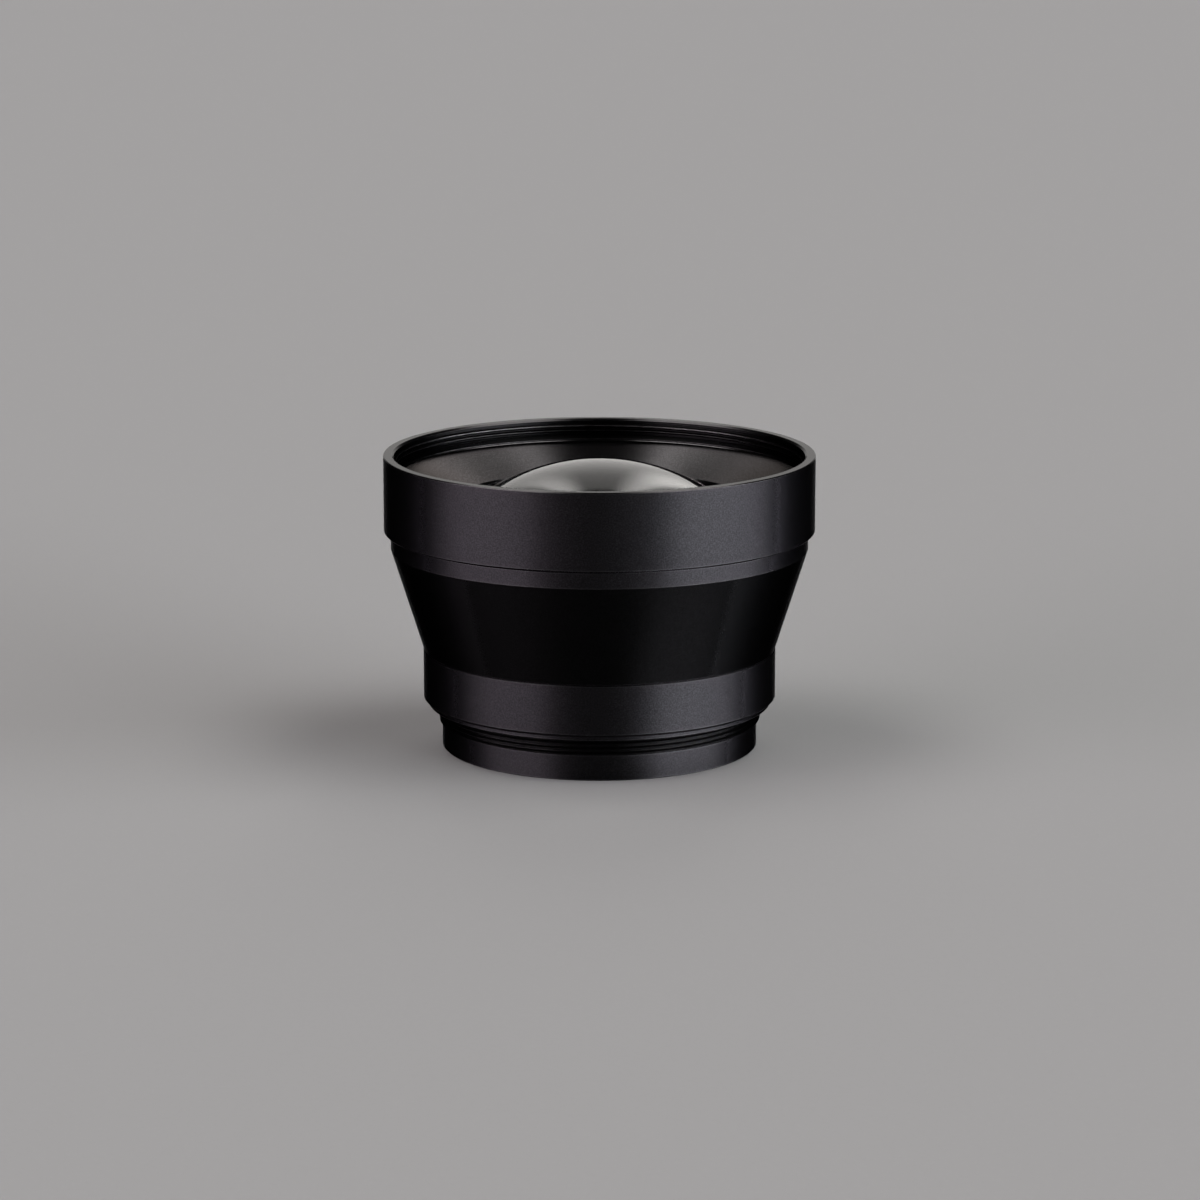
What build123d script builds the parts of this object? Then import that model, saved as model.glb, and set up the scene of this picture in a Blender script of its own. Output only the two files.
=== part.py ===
from build123d import *
import math
import os

# Screw-on afocal teleconverter. Millimetres, +Z along the optical axis towards the subject,
# origin on the axis at the end face of the rear pilot.

# Rear mount: pilot, fine male thread and thread relief, from the end face upwards
mount_thread_radius = 24.5
mount_thread_length = 2.35
mount_thread_pitch = 0.75
pilot_step = 0.52
pilot_length = 3.75
relief_step = 0.6
relief_length = 0.45
mount_wall = 2.78
mount_flange_step = 0.3
mount_flange_length = 1.0
mount_spigot_step = 1.9
mount_spigot_room = 1.5

# Rear barrel: lip, chamfer, plain cylinder, spigot and the shelf inside
lip_wall = 1.25
lip_length = 0.65
lip_step = 0.7
rear_barrel_chamfer = 0.45
rear_barrel_length = 7.85
rear_spigot_wall = 2.35
shelf_rise = 0.95
shelf_depth = 3.2
shelf_thickness = 2.4

# Main barrel: skirt, cone and band
barrel_step = 0.05
skirt_wall = 1.85
skirt_stop_step = 0.9
skirt_stop_length = 1.0
cone_length = 15.48
band_length = 2.45
band_step = 1.02
front_spigot_length = 4.12
front_spigot_wall = 2.6

# Front ring
filter_thread_radius = 31.0
filter_thread_pitch = 0.75
filter_lead_length = 0.55
filter_lead_depth = 0.05
filter_recess_length = 2.54
filter_ledge_length = 0.6
filter_ledge_width = 0.7
ring_wall = 1.62
ring_spigot_seat_width = 0.65
front_ring_length = 11.88
ring_seam = 0.08

# Thread form, as shares of the pitch
external_depth_share = 0.6134
internal_depth_share = 0.5413
crest_share = 0.125
root_share = 0.25

# Front cell and its shim
flange_thickness = 1.2
shim_thickness = 0.15
shim_inset = 0.15
cell_neck_room = 0.7
cell_side_room = 1.0
cell_neck_length = 2.8
cell_neck_width = 2.35
cell_wall = 2.2
cell_seat_width = 2.1
cell_seat_thickness = 1.5
cell_recess_width = 2.95
cell_recess_depth = 1.55

# Front glass pair; each surface is given by its depth from edge to centre
crown_edge_drop = 2.93
crown_front_sag = 9.7
crown_edge_thickness = 1.6
cemented_sag = 2.22
flint_centre_thickness = 2.2
flint_rear_sag = 1.57
cement_gap = 0.02

# Front retainer and its cushion
retainer_overlap = 1.25
retainer_rim_step = 0.12
retainer_rim_width = 0.45
retainer_edge_break = 0.2
retainer_foot_thickness = 3.0
retainer_foot_chamfer = 0.35
retainer_floor_gap = 0.3
cushion_thickness = 0.25
spanner_notch_count = 2
spanner_notch_width = 2.2
spanner_notch_depth = 0.7
spanner_notch_reach = 1.6

# Light baffle sleeve
baffle_wall = 0.8
baffle_lip_width = 1.1
baffle_seat_depth = 1.0
baffle_front_step = 0.5
baffle_rear_step = 1.4
baffle_rear_clearance = 0.9
baffle_ridge_count = 7
baffle_ridge_height = 0.35

# Rear cell and rear glass
rear_cell_room = 2.0
rear_cell_wall = 2.15
rear_cell_flange_room = 0.3
rear_cell_flange_thickness = 1.6
rear_seat_width = 1.4
rear_seat_thickness = 0.8
negative_front_sag = 2.5
negative_centre_thickness = 1.8
negative_rear_sag = 3.8
rear_air_space = 0.5
meniscus_front_sag = 3.55
meniscus_centre_thickness = 4.2
meniscus_rear_sag = 1.54
rear_retainer_thickness = 1.2
rear_retainer_slot_width = 1.8
rear_retainer_slot_depth = 0.6
rear_cell_end_margin = 0.1
flare_stop_thickness = 0.3
flare_stop_overlap = 0.6

# Rear baffle ring
rear_baffle_step = 1.0
rear_baffle_thickness = 1.0
rear_baffle_gap = 0.2
rear_baffle_rim_width = 0.9
rear_baffle_rim_height = 1.2
rear_baffle_key_count = 2
rear_baffle_key_radius = 0.6

# Fasteners
screw_count = 3
centring_screw_radius = 1.0
centring_screw_inset = 0.3
centring_slot_width = 0.3
centring_slot_depth = 0.5
centring_first_angle = 30.0
cell_screw_radius = 0.8
cell_screw_length = 3.4
cell_screw_head_radius = 1.25
cell_screw_head_height = 0.7
cell_screw_slot_width = 0.35
cell_screw_slot_depth = 0.35
cell_screw_first_angle = 90.0

# Clearances and edge breaks
fit_gap = 0.05
hole_gap = 0.1
edge_break = 0.15
rim_chamfer = 0.3
cut_overrun = 0.5

# Radii of the rear end, worked out from the mount thread: mount ring, rear barrel, cone, rear cell
pilot_radius = mount_thread_radius - pilot_step
relief_radius = mount_thread_radius - relief_step
mount_minor_radius = mount_thread_radius - external_depth_share * mount_thread_pitch
mount_bore_radius = pilot_radius - mount_wall
mount_flange_radius = mount_thread_radius + mount_flange_step
mount_spigot_radius = mount_flange_radius - mount_spigot_step
lip_radius = mount_flange_radius + fit_gap + lip_wall
rear_barrel_radius = lip_radius + lip_step
cone_rear_radius = rear_barrel_radius - barrel_step
skirt_bore_radius = cone_rear_radius - skirt_wall
rear_spigot_radius = skirt_bore_radius - fit_gap
rear_spigot_bore_radius = rear_spigot_radius - rear_spigot_wall
skirt_stop_radius = rear_spigot_bore_radius + skirt_stop_step
rear_cell_radius = mount_bore_radius - rear_cell_room
rear_cell_flange_radius = rear_spigot_bore_radius - rear_cell_flange_room
shelf_bore_radius = rear_cell_radius + hole_gap
cell_screw_circle_radius = (shelf_bore_radius + rear_cell_flange_radius) / 2
rear_bore_radius = rear_cell_radius - rear_cell_wall
rear_glass_radius = rear_bore_radius - fit_gap
rear_clear_radius = rear_glass_radius - rear_seat_width
flare_stop_radius = rear_clear_radius - flare_stop_overlap
baffle_rear_radius = flare_stop_radius + baffle_rear_step
rear_baffle_radius = mount_bore_radius - fit_gap
rear_baffle_clear_radius = rear_clear_radius + rear_baffle_step

# Radii of the front end, worked out from the filter thread: ring, band, cell, glass, retainer
filter_minor_radius = filter_thread_radius - internal_depth_share * filter_thread_pitch
front_ring_radius = filter_thread_radius + ring_wall
band_radius = front_ring_radius - band_step
retainer_bore_radius = filter_thread_radius - filter_ledge_width
ring_spigot_bore_radius = retainer_bore_radius + ring_spigot_seat_width
front_spigot_radius = ring_spigot_bore_radius - fit_gap
front_spigot_bore_radius = front_spigot_radius - front_spigot_wall
cell_neck_radius = front_spigot_bore_radius - cell_neck_room
cell_radius = cell_neck_radius - cell_neck_width
glass_bore_radius = cell_radius - cell_wall
front_glass_radius = glass_bore_radius - fit_gap
cell_seat_radius = front_glass_radius - cell_seat_width
cell_recess_radius = glass_bore_radius + cell_recess_width
baffle_seat_radius = cell_seat_radius + baffle_lip_width
baffle_front_radius = cell_seat_radius - baffle_front_step
retainer_clear_radius = front_glass_radius - retainer_overlap
retainer_foot_radius = glass_bore_radius - hole_gap
cone_foot_radius = retainer_clear_radius + retainer_foot_chamfer
cone_rim_radius = retainer_bore_radius - retainer_rim_width

# Heights worked out from the lengths above
relief_height = pilot_length + mount_thread_length
shoulder_height = relief_height + relief_length
lip_top_height = shoulder_height + lip_length
barrel_joint_height = lip_top_height + rear_barrel_length
shelf_height = barrel_joint_height + shelf_rise
shelf_base_height = shelf_height - shelf_thickness
rear_spigot_top_height = shelf_height + shelf_depth
skirt_top_height = rear_spigot_top_height + fit_gap
mount_flange_top_height = shoulder_height + mount_flange_length
mount_spigot_top_height = shelf_base_height - mount_spigot_room
band_base_height = barrel_joint_height + cone_length
ring_base_height = band_base_height + band_length
total_height = ring_base_height + front_ring_length
spigot_top_height = ring_base_height + front_spigot_length
flange_base_height = spigot_top_height + shim_thickness
flange_top_height = flange_base_height + flange_thickness
cell_neck_base_height = flange_base_height - cell_neck_length
ledge_top_height = total_height - filter_recess_length
ledge_base_height = ledge_top_height - filter_ledge_length
retainer_rim_height = ledge_base_height - retainer_rim_step

# Levels of the front pair, from the edge of its dome
crown_edge_height = flange_top_height - cell_recess_depth - crown_edge_drop
front_vertex_height = crown_edge_height + crown_front_sag
cemented_edge_height = crown_edge_height - crown_edge_thickness
cemented_vertex_height = cemented_edge_height - cemented_sag
flint_front_vertex = cemented_vertex_height - cement_gap
flint_rear_vertex = flint_front_vertex - flint_centre_thickness
front_seat_height = flint_rear_vertex - flint_rear_sag
cell_base_height = front_seat_height - cell_seat_thickness - baffle_seat_depth

# Levels of the rear group, from the shelf down
cell_flange_top_height = shelf_height + rear_cell_flange_thickness
rear_seat_height = cell_flange_top_height - rear_seat_thickness
negative_front_vertex = rear_seat_height - negative_front_sag
negative_rear_vertex = negative_front_vertex - negative_centre_thickness
negative_rear_height = negative_rear_vertex - negative_rear_sag
meniscus_front_height = negative_rear_height - rear_air_space
meniscus_front_vertex = meniscus_front_height + meniscus_front_sag
meniscus_rear_vertex = meniscus_front_vertex - meniscus_centre_thickness
meniscus_rear_height = meniscus_rear_vertex - meniscus_rear_sag
rear_retainer_base = meniscus_rear_height - rear_retainer_thickness
rear_cell_base_height = rear_retainer_base - rear_cell_end_margin
head_base_height = cell_flange_top_height + flare_stop_thickness
rear_baffle_top = rear_cell_base_height - rear_baffle_gap
rear_baffle_base = rear_baffle_top - rear_baffle_thickness


def curve_radius(sag, radius):
    """Radius of the sphere that is sag deep over a distance radius from the axis."""
    return (radius * radius + sag * sag) / (2 * sag)


def surface(vertex, sag, radius):
    """Draw the arc of a lens surface from its vertex out to an edge that lies sag below it."""
    curve = curve_radius(sag, radius)
    middle = vertex - curve + math.copysign(math.sqrt(curve * curve - radius * radius / 4), curve)
    ThreePointArc((0, vertex), (radius / 2, middle), (radius, vertex - sag))


def dome_height(radius, lift):
    """Height of the front dome, raised along its own normal by lift, at a distance from the axis."""
    curve = curve_radius(crown_front_sag, front_glass_radius)
    return front_vertex_height - curve + math.sqrt((curve + lift) ** 2 - radius ** 2)


def thread_points(crest_radius, root_radius, pitch, low, high):
    """Points up a thread's section between two heights, with one crest for each whole pitch."""
    count = int((high - low) / pitch)
    first = (low + high - (count - 1) * pitch) / 2
    half_crest = crest_share * pitch / 2
    half_foot = (1 - root_share) * pitch / 2
    points = []
    for turn in range(count):
        crest = first + turn * pitch
        points.append((root_radius, crest - half_foot))
        points.append((crest_radius, crest - half_crest))
        points.append((crest_radius, crest + half_crest))
        points.append((root_radius, crest + half_foot))
    return points


def radial_plane(height, angle):
    """Plane through the axis at a height, facing outwards at an angle in degrees."""
    turn = math.radians(angle)
    outwards = (math.cos(turn), math.sin(turn), 0)
    return Plane(origin=(0, 0, height), x_dir=(-math.sin(turn), math.cos(turn), 0), z_dir=outwards)


# Front ring: plain lead-in, filter thread, ledge, retainer bore and barrel bore
filter_thread_points = thread_points(
    filter_minor_radius,
    filter_thread_radius,
    filter_thread_pitch,
    ledge_top_height,
    total_height - filter_lead_length,
)
with BuildPart() as front_ring:
    with BuildSketch(Plane.XZ):
        with BuildLine():
            Polyline(
                (front_ring_radius, ring_base_height + ring_seam + rim_chamfer),
                (front_ring_radius, total_height - rim_chamfer),
                (front_ring_radius - rim_chamfer, total_height),
                (filter_thread_radius + filter_lead_depth + rim_chamfer, total_height),
                (filter_thread_radius + filter_lead_depth, total_height - rim_chamfer),
                (filter_thread_radius + filter_lead_depth, total_height - filter_lead_length),
                *reversed(filter_thread_points),
                (filter_thread_radius, ledge_top_height),
                (retainer_bore_radius, ledge_base_height),
                (retainer_bore_radius, flange_top_height),
                (ring_spigot_bore_radius, flange_top_height),
                (ring_spigot_bore_radius, ring_base_height + ring_seam),
                (front_ring_radius - rim_chamfer, ring_base_height + ring_seam),
                close=True,
            )
        make_face()
    revolve(axis=Axis.Z)
front_ring.part.label = "front_ring"

# Main barrel: skirt over the rear barrel's spigot, cone, band and spigot for the front ring
with BuildPart() as main_barrel:
    with BuildSketch(Plane.XZ):
        with BuildLine():
            Polyline(
                (skirt_bore_radius, barrel_joint_height),
                (cone_rear_radius - edge_break, barrel_joint_height),
                (cone_rear_radius, barrel_joint_height + edge_break),
                (band_radius, band_base_height),
                (band_radius, ring_base_height - edge_break),
                (band_radius - edge_break, ring_base_height),
                (front_spigot_radius, ring_base_height),
                (front_spigot_radius, spigot_top_height),
                (front_spigot_bore_radius, spigot_top_height),
                (front_spigot_bore_radius, cell_neck_base_height),
                (cell_radius + cell_side_room, cell_base_height),
                (skirt_stop_radius, skirt_top_height + skirt_stop_length),
                (skirt_stop_radius, skirt_top_height),
                (skirt_bore_radius, skirt_top_height),
                close=True,
            )
        make_face()
    revolve(axis=Axis.Z)
main_barrel.part.label = "main_barrel"

# Rear barrel: lip, chamfered cylinder, spigot, shelf for the rear cell and bores for the mount ring
centring_height = shelf_height + rear_cell_flange_thickness / 2
centring_planes = [
    radial_plane(centring_height, centring_first_angle + screw * 360 / screw_count)
    for screw in range(screw_count)
]
centring_hole_length = rear_spigot_radius - rear_cell_flange_radius + cut_overrun
with BuildPart() as rear_barrel:
    with BuildSketch(Plane.XZ):
        with BuildLine():
            Polyline(
                (mount_flange_radius + fit_gap, shoulder_height),
                (lip_radius - edge_break, shoulder_height),
                (lip_radius, shoulder_height + edge_break),
                (lip_radius, lip_top_height),
                (rear_barrel_radius - rear_barrel_chamfer, lip_top_height),
                (rear_barrel_radius, lip_top_height + rear_barrel_chamfer),
                (rear_barrel_radius, barrel_joint_height - edge_break),
                (rear_barrel_radius - edge_break, barrel_joint_height),
                (rear_spigot_radius, barrel_joint_height),
                (rear_spigot_radius, rear_spigot_top_height),
                (rear_spigot_bore_radius, rear_spigot_top_height),
                (rear_spigot_bore_radius, shelf_height),
                (shelf_bore_radius, shelf_height),
                (shelf_bore_radius, shelf_base_height),
                (mount_spigot_radius + fit_gap, shelf_base_height),
                (mount_spigot_radius + fit_gap, mount_flange_top_height),
                (mount_flange_radius + fit_gap, mount_flange_top_height),
                close=True,
            )
        make_face()
    revolve(axis=Axis.Z)
    for centring_plane in centring_planes:
        with BuildSketch(centring_plane.offset(rear_cell_flange_radius)):
            Circle(centring_screw_radius + hole_gap)
        extrude(amount=centring_hole_length, mode=Mode.SUBTRACT)
    with BuildSketch(Plane.XY.offset(shelf_height)):
        with PolarLocations(cell_screw_circle_radius, screw_count, cell_screw_first_angle):
            Circle(cell_screw_radius + hole_gap)
    extrude(amount=-shelf_thickness, mode=Mode.SUBTRACT)
rear_barrel.part.label = "rear_barrel"

# Mount ring: pilot, male thread, relief, locating flange and spigot
with BuildPart() as mount_ring:
    with BuildSketch(Plane.XZ):
        with BuildLine():
            Polyline(
                (mount_bore_radius + edge_break, 0),
                (pilot_radius - edge_break, 0),
                (pilot_radius, edge_break),
                (pilot_radius, pilot_length),
                *thread_points(
                    mount_thread_radius,
                    mount_minor_radius,
                    mount_thread_pitch,
                    pilot_length,
                    relief_height,
                ),
                (relief_radius, relief_height),
                (relief_radius, shoulder_height),
                (mount_flange_radius, shoulder_height),
                (mount_flange_radius, mount_flange_top_height),
                (mount_spigot_radius, mount_flange_top_height),
                (mount_spigot_radius, mount_spigot_top_height),
                (mount_bore_radius, mount_spigot_top_height),
                (mount_bore_radius, edge_break),
                close=True,
            )
        make_face()
    revolve(axis=Axis.Z)
mount_ring.part.label = "mount_ring"

# Front glass: domed crown with a spherical rear face for the cement
with BuildPart() as front_crown_element:
    with BuildSketch(Plane.XZ):
        with BuildLine():
            surface(front_vertex_height, crown_front_sag, front_glass_radius)
            surface(cemented_vertex_height, -cemented_sag, front_glass_radius)
            Line((front_glass_radius, crown_edge_height), (front_glass_radius, cemented_edge_height))
            Line((0, front_vertex_height), (0, cemented_vertex_height))
        make_face()
    revolve(axis=Axis.Z)
front_crown_element.part.label = "front_crown_element"

# Flint behind it, hollow on both sides, with a flat ground rim that seats in the cell
with BuildPart() as front_flint_element:
    with BuildSketch(Plane.XZ):
        with BuildLine():
            surface(flint_front_vertex, -cemented_sag, front_glass_radius)
            surface(flint_rear_vertex, flint_rear_sag, cell_seat_radius)
            Polyline(
                (cell_seat_radius, front_seat_height),
                (front_glass_radius, front_seat_height),
                (front_glass_radius, cemented_edge_height - cement_gap),
            )
            Line((0, flint_front_vertex), (0, flint_rear_vertex))
        make_face()
    revolve(axis=Axis.Z)
front_flint_element.part.label = "front_flint_element"

# Front cell: flange on the barrel, bore for the glass, seat and a recess for the light baffle
with BuildPart() as front_cell:
    with BuildSketch(Plane.XZ):
        with BuildLine():
            Polyline(
                (baffle_seat_radius, cell_base_height),
                (cell_radius, cell_base_height),
                (cell_radius, cell_neck_base_height),
                (cell_neck_radius, cell_neck_base_height),
                (cell_neck_radius, flange_base_height),
                (front_spigot_radius - fit_gap, flange_base_height),
                (front_spigot_radius - fit_gap, flange_top_height),
                (cell_recess_radius, flange_top_height),
                (cell_recess_radius, flange_top_height - cell_recess_depth),
                (glass_bore_radius, flange_top_height - cell_recess_depth),
                (glass_bore_radius, front_seat_height),
                (cell_seat_radius, front_seat_height),
                (cell_seat_radius, cell_base_height + baffle_seat_depth),
                (baffle_seat_radius, cell_base_height + baffle_seat_depth),
                close=True,
            )
        make_face()
    revolve(axis=Axis.Z)
front_cell.part.label = "front_cell"

# Shim between the barrel's spigot and the cell's flange
with BuildPart() as cell_shim:
    with BuildSketch(Plane.XY.offset(spigot_top_height)):
        Circle(front_spigot_radius - fit_gap)
        Circle(front_spigot_bore_radius + shim_inset, mode=Mode.SUBTRACT)
    extrude(amount=shim_thickness)
cell_shim.part.label = "cell_shim"

# Cushion ring: a thin band lying on the dome under the retainer's foot
with BuildPart() as front_cushion_ring:
    with BuildSketch(Plane.XZ):
        with BuildLine():
            Polyline(
                (retainer_clear_radius, dome_height(retainer_clear_radius, fit_gap)),
                (retainer_foot_radius, dome_height(retainer_foot_radius, fit_gap)),
                (retainer_foot_radius, dome_height(retainer_foot_radius, fit_gap) + cushion_thickness),
                (retainer_clear_radius, dome_height(retainer_clear_radius, fit_gap) + cushion_thickness),
                close=True,
            )
        make_face()
    revolve(axis=Axis.Z)
front_cushion_ring.part.label = "front_cushion_ring"

# Front retainer: the black cone round the glass, with a foot on the cushion and two spanner notches
foot_lift = cushion_thickness + fit_gap
cone_foot_height = dome_height(cone_foot_radius, 0) + retainer_foot_thickness
retainer_disc_height = flange_top_height + retainer_floor_gap
retainer_step_height = flange_top_height - cell_recess_depth + retainer_floor_gap
retainer_step_radius = cell_recess_radius - hole_gap
with BuildPart() as front_retainer:
    with BuildSketch(Plane.XZ):
        with BuildLine():
            Polyline(
                (retainer_clear_radius, dome_height(retainer_clear_radius, fit_gap) + foot_lift),
                (retainer_foot_radius, dome_height(retainer_foot_radius, fit_gap) + foot_lift),
                (retainer_foot_radius, retainer_step_height),
                (retainer_step_radius, retainer_step_height),
                (retainer_step_radius, retainer_disc_height),
                (retainer_bore_radius - fit_gap, retainer_disc_height),
                (retainer_bore_radius - fit_gap, retainer_rim_height),
                (cone_rim_radius + retainer_edge_break, retainer_rim_height),
                (cone_rim_radius, retainer_rim_height - retainer_edge_break),
                (cone_foot_radius, cone_foot_height),
                (retainer_clear_radius, cone_foot_height - retainer_foot_chamfer),
                close=True,
            )
        make_face()
    revolve(axis=Axis.Z)
    notch_middle = retainer_bore_radius - spanner_notch_reach / 2
    with BuildSketch(Plane.XY.offset(retainer_rim_height - spanner_notch_depth)):
        with PolarLocations(notch_middle, spanner_notch_count):
            Rectangle(spanner_notch_reach, spanner_notch_width)
    extrude(amount=spanner_notch_depth + cut_overrun, mode=Mode.SUBTRACT)
front_retainer.part.label = "front_retainer"

# Light baffle: thin conical sleeve with ridges inside that catch stray light
baffle_top_height = cell_base_height + baffle_seat_depth
baffle_base_height = head_base_height + cell_screw_head_height + baffle_rear_clearance
baffle_cone_height = cell_base_height - baffle_base_height
ridge_step = baffle_cone_height / baffle_ridge_count


def baffle_radius(height):
    """Inner radius of the baffle's valleys at a height."""
    share = (height - baffle_base_height) / baffle_cone_height
    return baffle_rear_radius + share * (baffle_front_radius - baffle_rear_radius)


baffle_inner_points = []
for ridge in range(baffle_ridge_count):
    ridge_top = cell_base_height - ridge * ridge_step
    ridge_tip = baffle_radius(ridge_top - ridge_step) - baffle_ridge_height
    baffle_inner_points.append((baffle_radius(ridge_top), ridge_top))
    baffle_inner_points.append((ridge_tip, ridge_top - ridge_step))
with BuildPart() as light_baffle:
    with BuildSketch(Plane.XZ):
        with BuildLine():
            Polyline(
                *baffle_inner_points,
                (baffle_rear_radius + baffle_wall, baffle_base_height),
                (baffle_front_radius + baffle_wall, cell_base_height - baffle_wall),
                (baffle_seat_radius - fit_gap, cell_base_height - baffle_wall),
                (baffle_seat_radius - fit_gap, baffle_top_height),
                (baffle_front_radius, baffle_top_height),
                close=True,
            )
        make_face()
    revolve(axis=Axis.Z)
light_baffle.part.label = "light_baffle"

# Rear cell: flange on the shelf, seat in front, bore open to the rear
with BuildPart() as rear_cell:
    with BuildSketch(Plane.XZ):
        with BuildLine():
            Polyline(
                (rear_bore_radius, rear_cell_base_height),
                (rear_cell_radius, rear_cell_base_height),
                (rear_cell_radius, shelf_height),
                (rear_cell_flange_radius, shelf_height),
                (rear_cell_flange_radius, cell_flange_top_height),
                (rear_clear_radius, cell_flange_top_height),
                (rear_clear_radius, rear_seat_height),
                (rear_bore_radius, rear_seat_height),
                close=True,
            )
        make_face()
    revolve(axis=Axis.Z)
    with BuildSketch(Plane.XY.offset(cell_flange_top_height)):
        with PolarLocations(cell_screw_circle_radius, screw_count, cell_screw_first_angle):
            Circle(cell_screw_radius + hole_gap)
    extrude(amount=-rear_cell_flange_thickness, mode=Mode.SUBTRACT)
rear_cell.part.label = "rear_cell"

# Flare stop: thin plate clamped on the rear cell by the cell screws
with BuildPart() as flare_stop:
    with BuildSketch(Plane.XY.offset(cell_flange_top_height)):
        Circle(rear_cell_flange_radius)
        Circle(flare_stop_radius, mode=Mode.SUBTRACT)
        with PolarLocations(cell_screw_circle_radius, screw_count, cell_screw_first_angle):
            Circle(cell_screw_radius + hole_gap, mode=Mode.SUBTRACT)
    extrude(amount=flare_stop_thickness)
flare_stop.part.label = "flare_stop"

# Rear group: biconcave glass, spacer ring, meniscus and slotted retaining ring
with BuildPart() as rear_negative_element:
    with BuildSketch(Plane.XZ):
        with BuildLine():
            surface(negative_front_vertex, -negative_front_sag, rear_clear_radius)
            surface(negative_rear_vertex, negative_rear_sag, rear_clear_radius)
            Polyline(
                (rear_clear_radius, rear_seat_height),
                (rear_glass_radius, rear_seat_height),
                (rear_glass_radius, negative_rear_height),
                (rear_clear_radius, negative_rear_height),
            )
            Line((0, negative_front_vertex), (0, negative_rear_vertex))
        make_face()
    revolve(axis=Axis.Z)
rear_negative_element.part.label = "rear_negative_element"

with BuildPart() as rear_spacer:
    with BuildSketch(Plane.XY.offset(meniscus_front_height)):
        Circle(rear_glass_radius)
        Circle(rear_clear_radius, mode=Mode.SUBTRACT)
    extrude(amount=rear_air_space)
rear_spacer.part.label = "rear_spacer"

with BuildPart() as rear_meniscus_element:
    with BuildSketch(Plane.XZ):
        with BuildLine():
            surface(meniscus_front_vertex, meniscus_front_sag, rear_clear_radius)
            surface(meniscus_rear_vertex, meniscus_rear_sag, rear_clear_radius)
            Polyline(
                (rear_clear_radius, meniscus_front_height),
                (rear_glass_radius, meniscus_front_height),
                (rear_glass_radius, meniscus_rear_height),
                (rear_clear_radius, meniscus_rear_height),
            )
            Line((0, meniscus_front_vertex), (0, meniscus_rear_vertex))
        make_face()
    revolve(axis=Axis.Z)
rear_meniscus_element.part.label = "rear_meniscus_element"

with BuildPart() as rear_retainer:
    with BuildSketch(Plane.XZ):
        with BuildLine():
            Polyline(
                (rear_clear_radius, meniscus_rear_height),
                (rear_glass_radius, meniscus_rear_height),
                (rear_glass_radius, rear_retainer_base),
                (rear_clear_radius + edge_break, rear_retainer_base),
                (rear_clear_radius, rear_retainer_base + edge_break),
                close=True,
            )
        make_face()
    revolve(axis=Axis.Z)
    with BuildSketch(Plane.XY.offset(rear_retainer_base)):
        Rectangle(rear_bore_radius * 2, rear_retainer_slot_width)
    extrude(amount=rear_retainer_slot_depth, mode=Mode.SUBTRACT)
rear_retainer.part.label = "rear_retainer"

# Rear baffle: plate ring screwed into the mount ring's bore, hiding the rear cell's end
with BuildPart() as rear_baffle:
    with BuildSketch(Plane.XZ):
        with BuildLine():
            Polyline(
                (rear_baffle_clear_radius, rear_baffle_top),
                (rear_baffle_radius, rear_baffle_top),
                (rear_baffle_radius, rear_baffle_base - rear_baffle_rim_height),
                (rear_baffle_radius - rear_baffle_rim_width, rear_baffle_base - rear_baffle_rim_height),
                (rear_baffle_radius - rear_baffle_rim_width, rear_baffle_base),
                (rear_baffle_clear_radius + rear_baffle_thickness / 2, rear_baffle_base),
                close=True,
            )
        make_face()
    revolve(axis=Axis.Z)
    key_circle = (rear_cell_radius + rear_baffle_clear_radius + rear_baffle_thickness) / 2
    with BuildSketch(Plane.XY.offset(rear_baffle_base)):
        with PolarLocations(key_circle, rear_baffle_key_count):
            Circle(rear_baffle_key_radius)
    extrude(amount=rear_baffle_thickness / 2, mode=Mode.SUBTRACT)
rear_baffle.part.label = "rear_baffle"

# Centring screws: three slotted grub screws in the spigot wall, bearing on the rear cell's flange
centring_inner = rear_cell_flange_radius + fit_gap
centring_outer = rear_spigot_radius - centring_screw_inset
with BuildPart() as centring_screws:
    for centring_plane in centring_planes:
        with BuildSketch(centring_plane.offset(centring_inner)):
            Circle(centring_screw_radius)
        extrude(amount=centring_outer - centring_inner)
        with BuildSketch(centring_plane.offset(centring_outer)):
            Rectangle(centring_screw_radius * 2, centring_slot_width)
        extrude(amount=-centring_slot_depth, mode=Mode.SUBTRACT)
centring_screws.part.label = "centring_screws"

# Rear cell screws: three slotted cheese-head screws through the flare stop and flange into the shelf
with BuildPart() as rear_cell_screws:
    with BuildSketch(Plane.XY.offset(head_base_height)):
        with PolarLocations(cell_screw_circle_radius, screw_count, cell_screw_first_angle):
            Circle(cell_screw_radius)
    extrude(amount=-cell_screw_length)
    with BuildSketch(Plane.XY.offset(head_base_height)):
        with PolarLocations(cell_screw_circle_radius, screw_count, cell_screw_first_angle):
            Circle(cell_screw_head_radius)
    extrude(amount=cell_screw_head_height)
    with BuildSketch(Plane.XY.offset(head_base_height + cell_screw_head_height)):
        with PolarLocations(cell_screw_circle_radius, screw_count, cell_screw_first_angle):
            Rectangle(cell_screw_slot_width, cell_screw_head_radius * 2)
    extrude(amount=-cell_screw_slot_depth, mode=Mode.SUBTRACT)
rear_cell_screws.part.label = "rear_cell_screws"

# One file for each piece
pieces = [
    front_ring.part,
    front_retainer.part,
    front_cushion_ring.part,
    front_crown_element.part,
    front_flint_element.part,
    front_cell.part,
    cell_shim.part,
    light_baffle.part,
    main_barrel.part,
    rear_barrel.part,
    mount_ring.part,
    flare_stop.part,
    rear_cell.part,
    rear_negative_element.part,
    rear_spacer.part,
    rear_meniscus_element.part,
    rear_retainer.part,
    rear_baffle.part,
    centring_screws.part,
    rear_cell_screws.part,
]
os.makedirs("parts", exist_ok=True)
for piece in pieces:
    export_step(piece, "parts/" + piece.label + ".step")
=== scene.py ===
import math

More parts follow.
